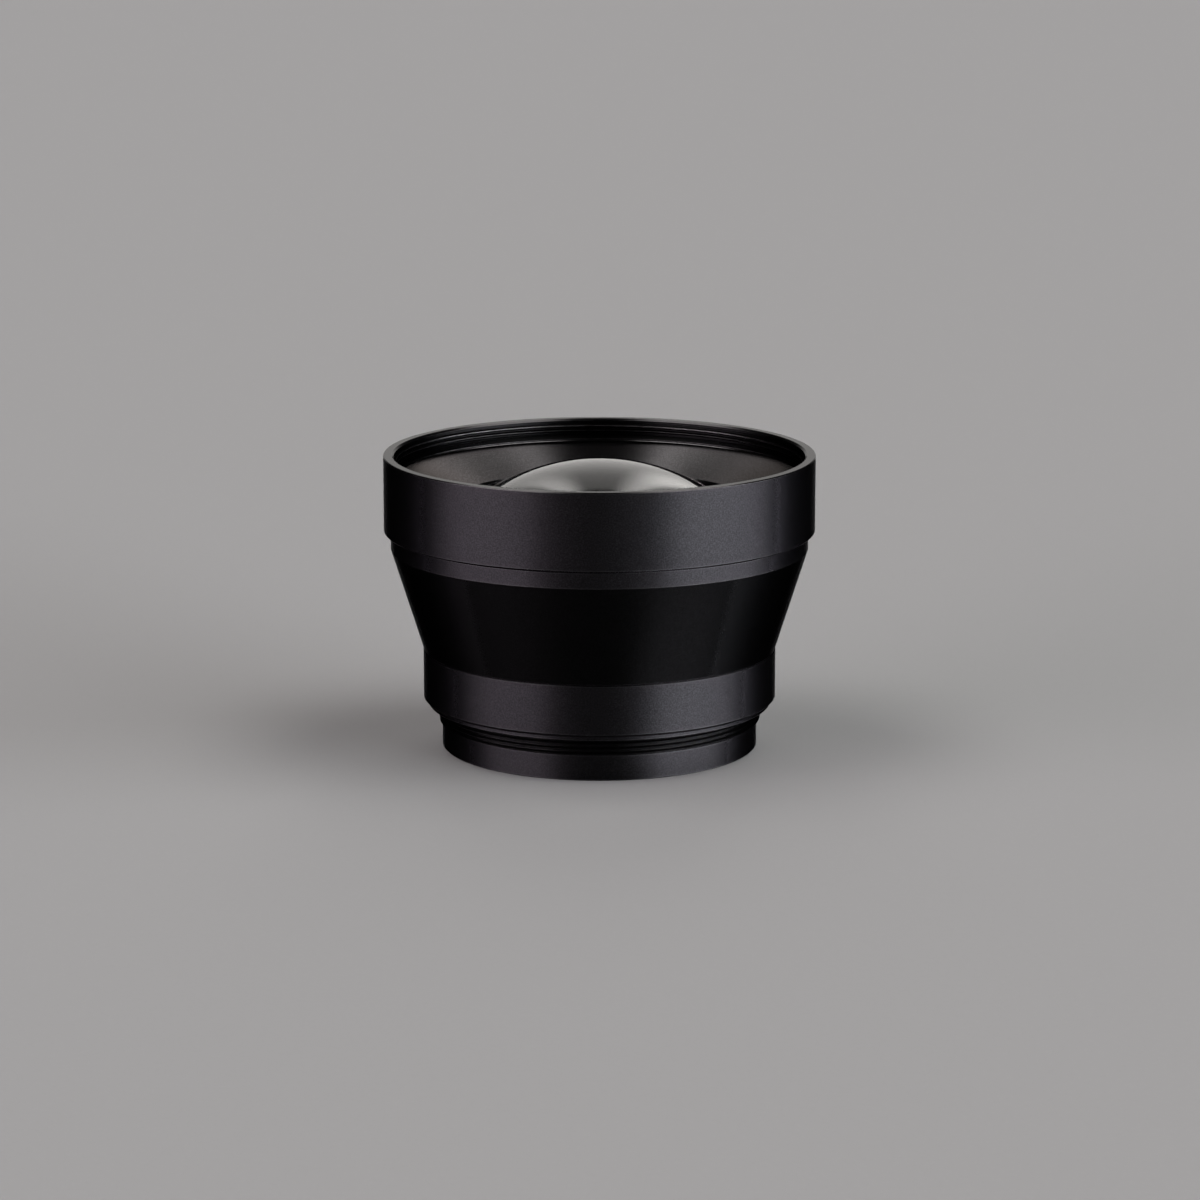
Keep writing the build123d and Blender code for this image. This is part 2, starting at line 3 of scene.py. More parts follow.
import bpy
import numpy as np
from bpy.props import FloatProperty, FloatVectorProperty, PointerProperty
from mathutils import Matrix, Vector


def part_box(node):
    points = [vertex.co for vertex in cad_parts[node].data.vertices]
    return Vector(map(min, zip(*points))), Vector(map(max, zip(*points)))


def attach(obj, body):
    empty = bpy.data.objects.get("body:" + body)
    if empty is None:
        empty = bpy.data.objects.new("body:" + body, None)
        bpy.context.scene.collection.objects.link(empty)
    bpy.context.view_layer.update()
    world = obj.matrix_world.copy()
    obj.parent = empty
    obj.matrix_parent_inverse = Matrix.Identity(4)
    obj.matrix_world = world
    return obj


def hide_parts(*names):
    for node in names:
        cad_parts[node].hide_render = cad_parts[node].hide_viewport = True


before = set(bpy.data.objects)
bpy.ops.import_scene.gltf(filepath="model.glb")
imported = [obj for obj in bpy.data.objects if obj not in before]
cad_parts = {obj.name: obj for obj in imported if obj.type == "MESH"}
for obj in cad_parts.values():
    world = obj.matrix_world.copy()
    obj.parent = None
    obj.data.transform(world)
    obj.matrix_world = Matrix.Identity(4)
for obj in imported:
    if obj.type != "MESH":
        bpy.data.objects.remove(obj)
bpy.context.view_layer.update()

# Screw-on teleconverter, stood on its rear pilot with the front glass up. Metres, in the frame's own axes:
# +Z is the optical axis. The solids' boxes give the main radii and heights, the properties below the rest.

bl_info = {
    "name": "Teleconverter",
    "version": (1, 0, 0),
    "blender": (4, 5, 0),
    "location": "3D View > Sidebar > Converter",
    "description": "Makes the turned rings, glasses, finishes and studio of a screw-on teleconverter",
    "category": "Object",
}

MM = 0.001
FIT = 0.05 * MM  # play between a spigot and its bore
COLUMNS = 384  # steps round a ring
CORNER_ROWS = 7  # rows that a rounded corner takes in a section


def reach(node):
    """Largest radius of a turned solid."""
    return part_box(node)[1].x


def top(node):
    """Height of a solid's highest point."""
    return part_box(node)[1].z


def foot(node):
    """Height of a solid's lowest point."""
    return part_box(node)[0].z


def length(name, description, value):
    """A length property, with its default given in millimetres."""
    settings = {"default": value * MM, "min": 0.0, "precision": 5, "subtype": "DISTANCE", "unit": "LENGTH"}
    return FloatProperty(name=name, description=description, **settings)


def share(name, description, value):
    """A plain number from nought to one."""
    return FloatProperty(name=name, description=description, default=value, min=0.0, max=1.0, subtype="FACTOR")


def colour(name, description, value):
    """A linear colour."""
    settings = {"default": value, "size": 3, "min": 0.0, "max": 1.0, "subtype": "COLOR"}
    return FloatVectorProperty(name=name, description=description, **settings)


def radiance(name, description, value):
    """Brightness of a light, as the radiance that a mirror would show."""
    return FloatProperty(name=name, description=description, default=value, min=0.0)


def angle(name, description, degrees):
    """An angle, with its default in degrees."""
    return FloatProperty(name=name, description=description, default=math.radians(degrees), subtype="ANGLE")


class ConverterRearSizes(bpy.types.PropertyGroup):
    """Sizes of the mount ring, the rear barrel and the fittings behind the glass."""

    mount_thread_radius: length("Mount thread radius", "Crest radius of the male thread", 24.5)
    mount_thread_depth: length("Mount thread depth", "Depth of the male thread", 0.46)
    mount_thread_foot: length("Mount thread foot", "Height at which the male thread starts", 3.75)
    mount_thread_top: length("Mount thread top", "Height at which the thread relief starts", 6.1)
    mount_thread_crest: length("Mount thread crest", "Height of a crest at the start of a turn", 5.08)
    thread_pitch: length("Thread pitch", "Pitch of both outside threads", 0.75)
    pilot_radius: length("Pilot radius", "Radius of the plain end", 23.98)
    relief_radius: length("Relief radius", "Radius of the thread relief", 23.9)
    mount_bore: length("Mount bore", "Inner radius of the mount ring", 21.2)
    mount_spigot: length("Mount spigot", "Outer radius of the mount ring's spigot", 22.9)
    flange_top: length("Mount flange top", "Top of the mount ring's locating flange", 7.55)
    lip_radius: length("Lip radius", "Radius of the rear barrel's lip", 26.1)
    lip_top: length("Lip top", "Height of the step above the lip", 7.2)
    barrel_chamfer: length("Barrel chamfer", "Chamfer at the rear barrel's lower edge", 0.45)
    rear_spigot: length("Rear spigot", "Radius of the spigot inside the main barrel", 24.85)
    rear_spigot_bore: length("Rear spigot bore", "Bore above the shelf", 22.5)
    shelf_top: length("Shelf top", "Height of the shelf that carries the rear cell", 16.0)
    shelf_base: length("Shelf base", "Underside of that shelf", 13.6)
    shelf_bore: length("Shelf bore", "Bore of that shelf", 19.3)


class ConverterFrontSizes(bpy.types.PropertyGroup):
    """Sizes of the front ring, the retainer and the main barrel."""

    filter_thread_radius: length("Filter thread radius", "Root radius of the female thread", 31.0)
    filter_thread_depth: length("Filter thread depth", "Depth of the female thread", 0.406)
    filter_thread_crest: length("Filter thread crest", "Height of a crest at the start of a turn", 43.55)
    filter_lead: length("Filter lead", "Length of the plain lead-in above the thread", 0.55)
    ledge_top: length("Ledge top", "Height of the ledge under the filter thread", 42.32)
    ledge_base: length("Ledge base", "Height at which the ledge meets its bore", 41.72)
    retainer_bore: length("Retainer bore", "Bore that holds the retainer", 30.3)
    ring_bore: length("Ring bore", "Bore over the main barrel's spigot", 30.95)
    rim_chamfer: length("Rim chamfer", "Chamfer round the front rim", 0.3)
    edge_break: length("Edge break", "Small chamfer on the other edges", 0.15)
    corner_round: length("Corner round", "Radius left on every turned corner", 0.035)
    cone_rear: length("Cone rear radius", "Radius of the cone at the rear barrel", 26.75)
    band_foot: length("Band foot", "Height at which the cone meets the band", 30.53)
    band_top: length("Band top", "Height of the step above the band", 32.98)
    spigot_radius: length("Front spigot", "Radius of the main barrel's front spigot", 30.9)
    spigot_bore: length("Front spigot bore", "Bore of that spigot", 28.3)
    skirt_bore: length("Skirt bore", "Bore of the skirt over the rear barrel", 24.9)
    skirt_stop: length("Skirt stop", "Bore behind the skirt", 23.4)
    skirt_relief: length("Skirt relief", "Length of that bore", 1.0)
    retainer_clear: length("Retainer opening", "Radius of the retainer's opening", 21.75)
    cone_rim: length("Retainer cone rim", "Radius at the top of the retainer's cone", 29.85)
    foot_chamfer: length("Retainer foot chamfer", "Chamfer at the retainer's opening", 0.35)
    foot_thickness: length("Retainer foot", "Height of the retainer's foot over the glass", 3.0)
    cell_neck_foot: length("Cell neck foot", "Height where the main barrel's bore starts to narrow", 34.45)
    cell_side: length("Cell side bore", "Main barrel's bore at the front cell's rear end", 26.25)
    retainer_step: length("Retainer step", "Radius of the retainer inside the front cell's recess", 25.9)
    retainer_lift: length("Retainer lift", "Height of its underside over the glass", 0.35)
    retainer_reach: length("Retainer reach", "How far it reaches into the front cell's recess", 1.25)
    retainer_disc: length("Retainer disc", "Height of its disc over the front cell", 0.3)
    retainer_round: length("Retainer round", "Radius on its outer top edge", 0.06)
    cone_edge: length("Cone edge", "Chamfer at the top of its cone", 0.08)
    notch_width: length("Spanner notch width", "Width of the two notches in the retainer", 2.2)
    notch_depth: length("Spanner notch depth", "Depth of these notches", 0.7)


class ConverterGlassSizes(bpy.types.PropertyGroup):
    """Curves of the four glasses: the sag of each surface between its vertex and its edge."""

    crown_sag: length("Crown sag", "Sag of the front dome", 9.7)
    cemented_sag: length("Cemented sag", "Sag of the cemented surface", 2.22)
    flint_sag: length("Flint sag", "Sag of the hollow surface behind the front pair", 1.57)
    flint_clear: length("Flint clear radius", "Clear radius of that surface", 20.9)
    negative_front_sag: length("Negative front sag", "Sag of the rear group's first surface", 2.5)
    negative_rear_sag: length("Negative rear sag", "Sag of its second surface", 3.8)
    meniscus_front_sag: length("Meniscus front sag", "Sag of the rear glass in front", 3.55)
    meniscus_rear_sag: length("Meniscus rear sag", "Sag of the rear glass behind", 1.54)
    rear_clear: length("Rear clear radius", "Clear radius of the rear group", 15.6)
    glass_chamfer: length("Glass chamfer", "Chamfer round every glass", 0.12)
    cement_gap: length("Cement gap", "Thickness of the cement", 0.02)


class ConverterFinish(bpy.types.PropertyGroup):
    """Colours and roughness of the finishes."""

    anodised: colour("Anodising", "Reflected colour of the black on straight walls", (0.0155, 0.015, 0.0165))
    # Painted shade: the walls' anodising made darker, for the cone that faces down and for the threads and
    # recesses.
    cone: colour("Cone anodising", "Reflected colour of the deeper black", (0.0042, 0.0042, 0.0044))
    turned: colour("Turned anodising", "Reflected colour of the smooth turned faces", (0.043, 0.042, 0.044))
    # Partly wear, partly painted highlight: edges lighten towards this colour to stand for glints on the
    # chamfers.
    worn_and_glinting_edge: colour("Worn and glinting edge", "Colour where the anodising is thin on an edge", (0.30, 0.29, 0.30))
    barrel_roughness: share("Barrel roughness", "Roughness of the finely turned and anodised walls", 0.4)
    barrel_streak: share("Barrel streak", "How far turning marks draw out the walls' gloss", 0.715)
    retainer_roughness: share("Retainer roughness", "Roughness of the retainer's turned cone", 0.14)
    matt_paint: colour("Matt paint", "Colour of the paint inside", (0.012, 0.012, 0.0125))
    glass: colour("Glass", "Colour of the glass", (0.985, 0.98, 0.965))
    glass_index: FloatProperty(name="Glass index", description="Refractive index", default=1.52, min=1.3)
    acetal: colour("Acetal", "Colour of the cushion ring", (0.03, 0.03, 0.03))
    shim_steel: colour("Shim steel", "Colour of the rolled shim", (0.55, 0.54, 0.53))
    oxide_steel: colour("Black oxide", "Colour of the screws", (0.075, 0.075, 0.08))


class ConverterStudio(bpy.types.PropertyGroup):
    """Floor, lights and camera."""

    floor: colour("Floor", "Colour of the paper floor", (0.31, 0.31, 0.31))
    left_bearing: angle("Left panel bearing", "Bearing of the left panels, from straight behind", -117.8)
    right_bearing: angle("Right panel bearing", "Bearing of the right panels", 111.0)
    left_half: angle("Left panel half width", "Bearing from its middle to the middle of its soft edge", 27.0)
    right_half: angle("Right panel half width", "The same for the right panel", 31.0)
    edge_softness: angle("Edge softness", "Half the width of the standing panels' soft edges", 9.0)
    left_light: radiance("Left light", "Brightness of the left standing panel", 16.4)
    right_light: radiance("Right light", "Brightness of the right standing panel", 30.6)
    left_low_light: radiance("Left low light", "Brightness of the left lying panel", 3.15)
    right_low_light: radiance("Right low light", "Brightness of the right one", 4.6)
    left_near: length("Left near edge", "Distance of the left lying panel from the axis", 93.0)
    right_near: length("Right near edge", "Distance of the right lying panel from the axis", 76.0)
    left_width: length("Left width", "Width of the left lying panel", 232.0)
    right_width: length("Right width", "Width of the right lying panel", 296.0)
    low_reach: length("Low reach", "Distance of both lying panels' far edges from the axis", 600.0)
    left_tint: colour("Left tint", "Colour of the light from the left", (1.0, 0.88, 0.95))
    right_tint: colour("Right tint", "Colour of the light from the right", (0.96, 0.97, 1.0))
    glow_tint: colour("Glow tint", "Colour of the light from behind", (1.0, 0.975, 0.945))
    card_bearing: angle("Card bearing", "Bearing of the lit card on the floor, which the cone mirrors", 134.0)
    card_distance: length("Card distance", "Distance of its middle from the axis", 48.0)
    card_size: length("Card size", "Side of that card", 22.0)
    card_light: radiance("Card light", "Brightness of that card", 7.0)
    high_light: radiance("High light", "Brightness of the two high side panels", 3.6)
    glow: radiance("Back glow", "Brightness of the backdrop low down", 0.95)
    left_patch: radiance("Left patch", "Extra brightness of its tall patch on the left", 3.125)
    right_patch: radiance("Right patch", "Extra brightness of its tall patch on the right", 2.5)
    fill: radiance("Fill", "Brightness of the rest of the room", 0.02)
    camera_distance: length("Camera distance", "Distance from the aim point", 614.1)
    camera_pitch: angle("Camera pitch", "How far the camera looks down", 12.209)
    aim_height: length("Aim height", "Height of the aim point", 22.134)
    focal_length: FloatProperty(name="Focal length", description="Camera lens in millimetres", default=121.11)
    shift: FloatProperty(name="Shift", description="Sideways shift of the frame", default=0.00046)


# Surfaces


def rounded(*corners, guard=0.12 * MM):
    """Closed section with round corners, counterclockwise.

    A corner holds radius and height, then, where they aren't 0 and 1, its wear and painted glint and how often
    it has the usual rounding.

    A corner turns into the arc that touches both its sides: its centre lies on the corner's bisector at
    rounding / cos(turn / 2), and its points swing from one side's foot to the other's by equal angles. A row
    lies a guard's width from each end of the arc, so that the wear and painted glint given with the points stay
    on the edge.
    """
    soft = bpy.context.scene.converter_front.corner_round
    table = np.array([(*corner, *(0, 1)[len(corner) - 2 :]) for corner in corners], float)
    point, wear_and_glint_there, radius = table[:, :2], table[:, 2:3], table[:, 3:4] * soft
    back = np.roll(point, 1, axis=0) - point
    ahead = np.roll(point, -1, axis=0) - point
    back_length = np.linalg.norm(back, axis=1, keepdims=True)
    ahead_length = np.linalg.norm(ahead, axis=1, keepdims=True)
    back, ahead = back / back_length, ahead / ahead_length
    turn = np.pi - np.arccos(np.clip((back * ahead).sum(1, keepdims=True), -1, 1))
    room = 0.4 * np.minimum(back_length, ahead_length)
    tangent = np.minimum(radius * np.tan(turn / 2), room)
    radius = tangent / np.tan(turn / 2)
    inward = back + ahead
    centre = point + inward / np.linalg.norm(inward, axis=1, keepdims=True) * radius / np.cos(turn / 2)
    start, end = point + back * tangent - centre, point + ahead * tangent - centre
    part = np.linspace(0, 1, CORNER_ROWS - 2)[None, :, None]
    swing = turn[:, None]
    arc = (np.sin((1 - part) * swing) * start[:, None] + np.sin(part * swing) * end[:, None]) / np.sin(swing)
    near = np.minimum(guard, room * 0.8)
    before = (point + back * (tangent + near))[:, None]
    after = (point + ahead * (tangent + near))[:, None]
    rows = np.concatenate([before, centre[:, None] + arc, after], axis=1)
    wear = np.zeros(rows.shape[:2])
    wear[:, 1:-1] = wear_and_glint_there
    return rows.reshape(-1, 2), wear.reshape(-1)


def middle_row(corner):
    """Row of a rounded section in the middle of a corner's arc."""
    return corner * CORNER_ROWS + CORNER_ROWS // 2


def sweep(section, columns):
    """Carries a section of radii and heights round the axis: x = r cos(turn), y = r sin(turn), z = height."""
    turn = np.atleast_1d(columns)
    radius, height = np.broadcast_arrays(section[..., 0], section[..., 1])
    if radius.ndim == 1:
        radius, height = radius[:, None], height[:, None]
    radius = np.broadcast_to(radius, (len(radius), len(turn)))
    height = np.broadcast_to(height, radius.shape)
    return np.stack([radius * np.cos(turn), radius * np.sin(turn), height], axis=-1)


def turns(count):
    """Equal angles once round."""
    return np.arange(count) * 2 * np.pi / count


def skin(name, points, wear, materials, bands=None, poles=None):
    """Puts a grid of points into a mesh. Columns close round the axis; rows close too, or end at two poles.

    The normal at a grid point is the cross product of the chord between its neighbours along the row and the
    chord between its neighbours along the column. The map runs once round in u and along the section in v.
    """
    rows, columns = points.shape[:2]
    index = np.arange(rows * columns).reshape(rows, columns)
    beside = np.roll(index, -1, axis=1)
    above, last = (np.roll(index, -1, axis=0), rows) if poles is None else (index[1:], rows - 1)
    quads = np.stack([index[:last], beside[:last], np.roll(above, -1, axis=1)[:last], above[:last]], axis=-1)
    step = np.linalg.norm(np.diff(points[:, 0], axis=0, append=points[:1, 0]), axis=1)
    along = np.concatenate([[0], np.cumsum(step)]) / step.sum()
    u = np.arange(columns + 1) / columns
    low_u, high_u = np.broadcast_arrays(u[None, :-1], u[None, 1:])
    low_v, high_v = along[:last, None], along[1 : last + 1, None]
    shape = (last, columns)
    wrap = np.stack(
        [
            np.stack([np.broadcast_to(a, shape), np.broadcast_to(b, shape)], axis=-1)
            for a, b in ((low_u, low_v), (high_u, low_v), (high_u, high_v), (low_u, high_v))
        ],
        axis=2,
    )
    if poles is None:
        column_chord = np.roll(points, -1, axis=0) - np.roll(points, 1, axis=0)
    else:
        ends = [np.broadcast_to([0, 0, height], (1, columns, 3)) for height in poles]
        longer = np.concatenate([ends[0], points, ends[1]])
        column_chord = longer[2:] - longer[:-2]
    normal = np.cross(np.roll(points, -1, axis=1) - np.roll(points, 1, axis=1), column_chord)
    vertex, normal = points.reshape(-1, 3), normal.reshape(-1, 3)
    edge = np.broadcast_to(wear if wear.ndim == 2 else wear[:, None], (rows, columns)).reshape(-1)
    corner, starts = quads.reshape(-1), np.arange(quads.size // 4) * 4
    layout_map = wrap.reshape(-1, 2)
    band = np.zeros(rows, int) if bands is None else bands
    paint = np.repeat(band[:last], columns)
    if poles is not None:
        vertex = np.concatenate([vertex, [[0, 0, poles[0]], [0, 0, poles[1]]]])
        normal = np.concatenate([normal, [[0, 0, -1], [0, 0, 1]]])
        edge = np.concatenate([edge, [0, 0]])
        low_pole, high_pole = np.full(columns, rows * columns), np.full(columns, rows * columns + 1)
        low_fan = np.stack([low_pole, beside[0], index[0]], axis=1)
        high_fan = np.stack([high_pole, index[-1], beside[-1]], axis=1)
        corner = np.concatenate([corner, low_fan.reshape(-1), high_fan.reshape(-1)])
        starts = np.concatenate([starts, quads.size + np.arange(2 * columns) * 3])
        middle, left, right = (u[:-1] + u[1:]) / 2, u[:-1], u[1:]
        floor_v, roof_v = np.zeros(columns), np.full(columns, along[-2])
        low_map = np.stack([np.stack([c, floor_v], -1) for c in (middle, right, left)], axis=1)
        high_map = np.stack([np.stack([c, roof_v], -1) for c in (middle, left, right)], axis=1)
        layout_map = np.concatenate([layout_map, low_map.reshape(-1, 2), high_map.reshape(-1, 2)])
        paint = np.concatenate([paint, np.full(columns, band[0]), np.full(columns, band[-1])])
    normal = normal / np.linalg.norm(normal, axis=1, keepdims=True)
    mesh = bpy.data.meshes.new(name)
    mesh.vertices.add(len(vertex))
    mesh.vertices.foreach_set("co", vertex.astype(np.float32).ravel())
    mesh.loops.add(len(corner))
    mesh.loops.foreach_set("vertex_index", corner.astype(np.int32))
    mesh.polygons.add(len(starts))
    mesh.polygons.foreach_set("loop_start", starts.astype(np.int32))
    mesh.update(calc_edges=True)
    mesh.polygons.foreach_set("material_index", paint.astype(np.int32))
    mesh.shade_smooth()
    mesh.uv_layers.new(name="wrap").data.foreach_set("uv", layout_map.astype(np.float32).ravel())
    # The edge attribute carries both the wear and the painted glint along the edges.
    mesh.attributes.new("edge", "FLOAT", "POINT").data.foreach_set("value", edge.astype(np.float32))
    if mesh.validate():
        raise RuntimeError(name + " has faulty faces")
    mesh.normals_split_custom_set_from_vertices(normal.astype(np.float32))
    for material in materials:
        mesh.materials.append(material)
    piece = bpy.data.objects.new(name, mesh)
    bpy.context.scene.collection.objects.link(piece)
    return piece


def settle(piece, node):
    """Fixes a finished piece to the body, in place of its solid."""
    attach(piece, "root")
    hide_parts(node)


def helix(height, turn, pitch, crest):
    """Height of a right-handed thread's ridge, from nought in the root to one on the crest.

    The phase is the height in pitches less the turn round the axis, nought where a ridge passes the height
    crest at turn nought. The ridge falls in a straight flank, eased at both ends, from a narrow flat.
    """
    phase = (height - crest) / pitch - turn / (2 * np.pi)
    away = np.abs(phase - np.round(phase))
    half_foot, half_flat = 0.375, 0.0625
    flank = np.clip((half_foot - away) / (half_foot - half_flat), 0, 1)
    return 0.5 * flank + 0.5 * flank * flank * (3 - 2 * flank)


def threaded(section, rows, pitch, crest, fade_in, fade_out, depth, root=None):
    """Closes a section with rows of a thread. Gives the points, the ridge and how far it is faded in.

    Between the heights where it fades in and out, the radius is the root's, or else the plain wall's, plus
    depth times the ridge. A negative depth makes a female thread.
    """
    part = np.linspace(0, 1, rows + 2)[1:-1, None]
    full = np.concatenate([section, section[-1] + (section[0] - section[-1]) * part])
    turn = turns(COLUMNS)
    height = sweep(full, turn)[..., 2]
    ridge = helix(height, turn, pitch, crest)
    window = ease(height, *fade_in) * (1 - ease(height, *fade_out))
    window[: len(section)] = 0
    wall = full[:, :1]
    radial = wall + ((wall if root is None else root) - wall + depth * ridge) * window
    return sweep(np.stack([radial, height], axis=-1), turn), ridge, window


def ease(value, start, end):
    """Runs smoothly from nought at start to one at end."""
    part = np.clip((value - start) / (end - start), 0, 1)
    return part * part * (3 - 2 * part)


def bowl(radius, vertex, sag, edge_radius):
    """Height of a spherical surface that lies sag below its vertex at edge_radius; a negative sag rises."""
    curve = (edge_radius * edge_radius + sag * sag) / (2 * sag)
    return vertex - curve + np.sign(sag) * np.sqrt(curve * curve - radius * radius)


# Finishes


def place(tree, kind, inputs=None, **settings):
    """Adds a node. settings are its own properties; inputs maps a socket to a value or to what feeds it."""
    made = tree.nodes.new(kind)
    for name, value in settings.items():
        setattr(made, name, value)
    join(tree, made, inputs or {})
    return made


def join(tree, node, inputs):
    """Sets or links a node's sockets."""
    for key, value in inputs.items():
        if isinstance(value, bpy.types.NodeSocket):
            tree.links.new(value, node.inputs[key])
        else:
            node.inputs[key].default_value = value


def reckon(tree, operation, *values):
    """A Math node's result."""
    return place(tree, "ShaderNodeMath", dict(enumerate(values)), operation=operation).outputs[0]


def spread(tree, value, low, high, to_low, to_high, kind="LINEAR"):
    """A value carried from one range into another and clamped."""
    ranges = {"Value": value, "From Min": low, "From Max": high, "To Min": to_low, "To Max": to_high}
    return place(tree, "ShaderNodeMapRange", ranges, interpolation_type=kind).outputs["Result"]


def blend(tree, factor, first, second):
    """Mixes two colours."""
    return place(tree, "ShaderNodeMix", {0: factor, 6: first, 7: second}, data_type="RGBA").outputs[2]


def noise(tree, where, size, detail):
    """Noise with features of the given size in millimetres."""
    per_metre = reckon(tree, "DIVIDE", 1 / MM, size)
    return place(tree, "ShaderNodeTexNoise", {"Vector": where, "Scale": per_metre, "Detail": detail}).outputs[0]


def new_group(name, inputs, output_names):
    """Starts a node group with float sockets, and gives it with its inputs' sockets."""
    group = bpy.data.node_groups.new(name, "ShaderNodeTree")
    for label, value in inputs.items():
        socket = group.interface.new_socket(label, in_out="INPUT", socket_type="NodeSocketFloat")
        socket.default_value = value
    for label in output_names:
        group.interface.new_socket(label, in_out="OUTPUT", socket_type="NodeSocketFloat")
    return group, place(group, "NodeGroupInput").outputs


def blast_grain():
    """Group: fine pits of glass-bead blasting and slow unevenness of the dye, over the object's coordinates."""
    found = bpy.data.node_groups.get("Blast Grain")
    if found:
        return found
    group, given = new_group("Blast Grain", {"Pit Size": 0.1, "Patch Size": 6.0}, ("Pits", "Patches"))
    where = place(group, "ShaderNodeTexCoord").outputs["Object"]
    patches = spread(group, noise(group, where, given[1], 2.0), 0.3, 0.7, 0.0, 1.0)
    place(group, "NodeGroupOutput", {"Pits": noise(group, where, given[0], 3.0), "Patches": patches})
    return group


def lathe_lines():
    """Group: turning marks, a noise read by distance from the axis and by height, hardly by angle."""
    found = bpy.data.node_groups.get("Lathe Lines")
    if found:
        return found
    group, given = new_group("Lathe Lines", {"Line Spacing": 0.08}, ("Lines",))
    where = place(group, "ShaderNodeTexCoord").outputs["Object"]
    x, y, z = place(group, "ShaderNodeSeparateXYZ", {0: where}).outputs
    x_squared, y_squared = reckon(group, "MULTIPLY", x, x), reckon(group, "MULTIPLY", y, y)
    radius = reckon(group, "SQRT", reckon(group, "ADD", x_squared, y_squared))
    per_metre = reckon(group, "DIVIDE", 1 / MM, given[0])
    around = reckon(group, "MULTIPLY", reckon(group, "ARCTAN2", y, x), 0.8)
    radius, height = reckon(group, "MULTIPLY", radius, per_metre), reckon(group, "MULTIPLY", z, per_metre)
    along = place(group, "ShaderNodeCombineXYZ", {0: radius, 1: height, 2: around}).outputs[0]
    lines = place(group, "ShaderNodeTexNoise", {"Vector": along, "Scale": 1.0, "Detail": 1.0})
    place(group, "NodeGroupOutput", {"Lines": lines.outputs[0]})
    return group


def edge_wear_and_glint():
    """Group: where handling has thinned the finish and where a highlight is painted on the edges, from each
    surface's edge attribute broken up by noise.
    """
    found = bpy.data.node_groups.get("Edge Wear")
    if found:
        return found
    group, given = new_group("Edge Wear", {"Amount": 0.5, "Break Up": 1.5}, ("Wear",))
    edge = place(group, "ShaderNodeAttribute", attribute_name="edge").outputs["Fac"]
    where = place(group, "ShaderNodeTexCoord").outputs["Object"]
    broken = spread(group, noise(group, where, given[1], 4.0), 0.25, 0.75, 0.35, 1.0)
    worn_and_glinting = reckon(group, "MULTIPLY", reckon(group, "MULTIPLY", edge, broken), given[0])
    place(group, "NodeGroupOutput", {"Wear": worn_and_glinting})
    return group


def use(tree, group, **values):
    """Places a group in a material with its own values, named with underscores for spaces."""
    named = {name.replace("_", " "): value for name, value in values.items()}
    return place(tree, "ShaderNodeGroup", named, node_tree=group).outputs


def new_material(name):
    """An empty node material and its Principled shader."""
    material = bpy.data.materials.new(name)
    material.use_nodes = True
    tree = material.node_tree
    tree.nodes.clear()
    shader = place(tree, "ShaderNodeBsdfPrincipled")
    place(tree, "ShaderNodeOutputMaterial", {"Surface": shader.outputs[0]})
    return material, tree, shader


def feed(tree, shader, **sockets):
    """Sets or links the shader's own sockets, named with underscores for spaces."""
    join(tree, shader, {name.replace("_", " "): value for name, value in sockets.items()})


def raised(tree, height, distance):
    """The normal of a bump with a height from nought to one over a distance in millimetres."""
    bump = place(tree, "ShaderNodeBump", {"Height": height, "Strength": 1.0, "Distance": distance * MM})
    return bump.outputs[0]


def scaled(tint, factor=1.0):
    """A colour made lighter or darker, with its alpha."""
    return (*(channel * factor for channel in tint), 1.0)


def anodising(name, dye, roughness, pit_size, pit_height, line_height, wear_and_glint_amount, grazing_shade_tint, streak=0.0):
    """Black anodising over turned aluminium, a little thinner along its edges and brighter there, partly from
    that and partly as a painted glint.

    streak draws the gloss out across the turning marks, along the section, from the tangent of the map.
    """
    found = bpy.data.materials.get(name)
    if found:
        return found
    finish = bpy.context.scene.converter_finish
    material, tree, shader = new_material(name)
    grain = use(tree, blast_grain(), Pit_Size=pit_size, Patch_Size=7.0)
    lines = use(tree, lathe_lines(), Line_Spacing=0.09)
    wear = use(tree, edge_wear_and_glint(), Amount=wear_and_glint_amount, Break_Up=1.2)
    pits = spread(tree, grain["Pits"], 0.3, 0.7, 0.0, 1.0)
    patchy = blend(tree, grain["Patches"], scaled(dye, 0.92), scaled(dye, 1.12))
    speckled = blend(tree, pits, scaled(dye, 0.62), blend(tree, pits, patchy, scaled(dye, 1.45)))
    # Edges lighten towards the worn-edge colour: partly real wear, partly a painted highlight on the chamfers.
    tint = blend(tree, wear["Wear"], speckled, scaled(finish.worn_and_glinting_edge))
    rough = spread(tree, grain["Pits"], 0.3, 0.7, roughness - 0.03, roughness + 0.03)
    pitting = reckon(tree, "MULTIPLY", grain["Pits"], pit_height)
    turning = reckon(tree, "MULTIPLY", lines["Lines"], line_height)
    normal = raised(tree, reckon(tree, "ADD", pitting, turning), 1.0)
    feed(tree, shader, Base_Color=tint, Metallic=1.0, Roughness=rough, Normal=normal)
    # Painted shade: a Specular Tint near black dims the gloss at grazing angles, darkening the silhouettes.
    shader.inputs["Specular Tint"].default_value = scaled(grazing_shade_tint)
    if streak > 0:
        marks = place(tree, "ShaderNodeTangent", direction_type="UV_MAP", uv_map="wrap")
        feed(tree, shader, Tangent=marks.outputs[0], Anisotropic=streak, Anisotropic_Rotation=0.25)
    return material


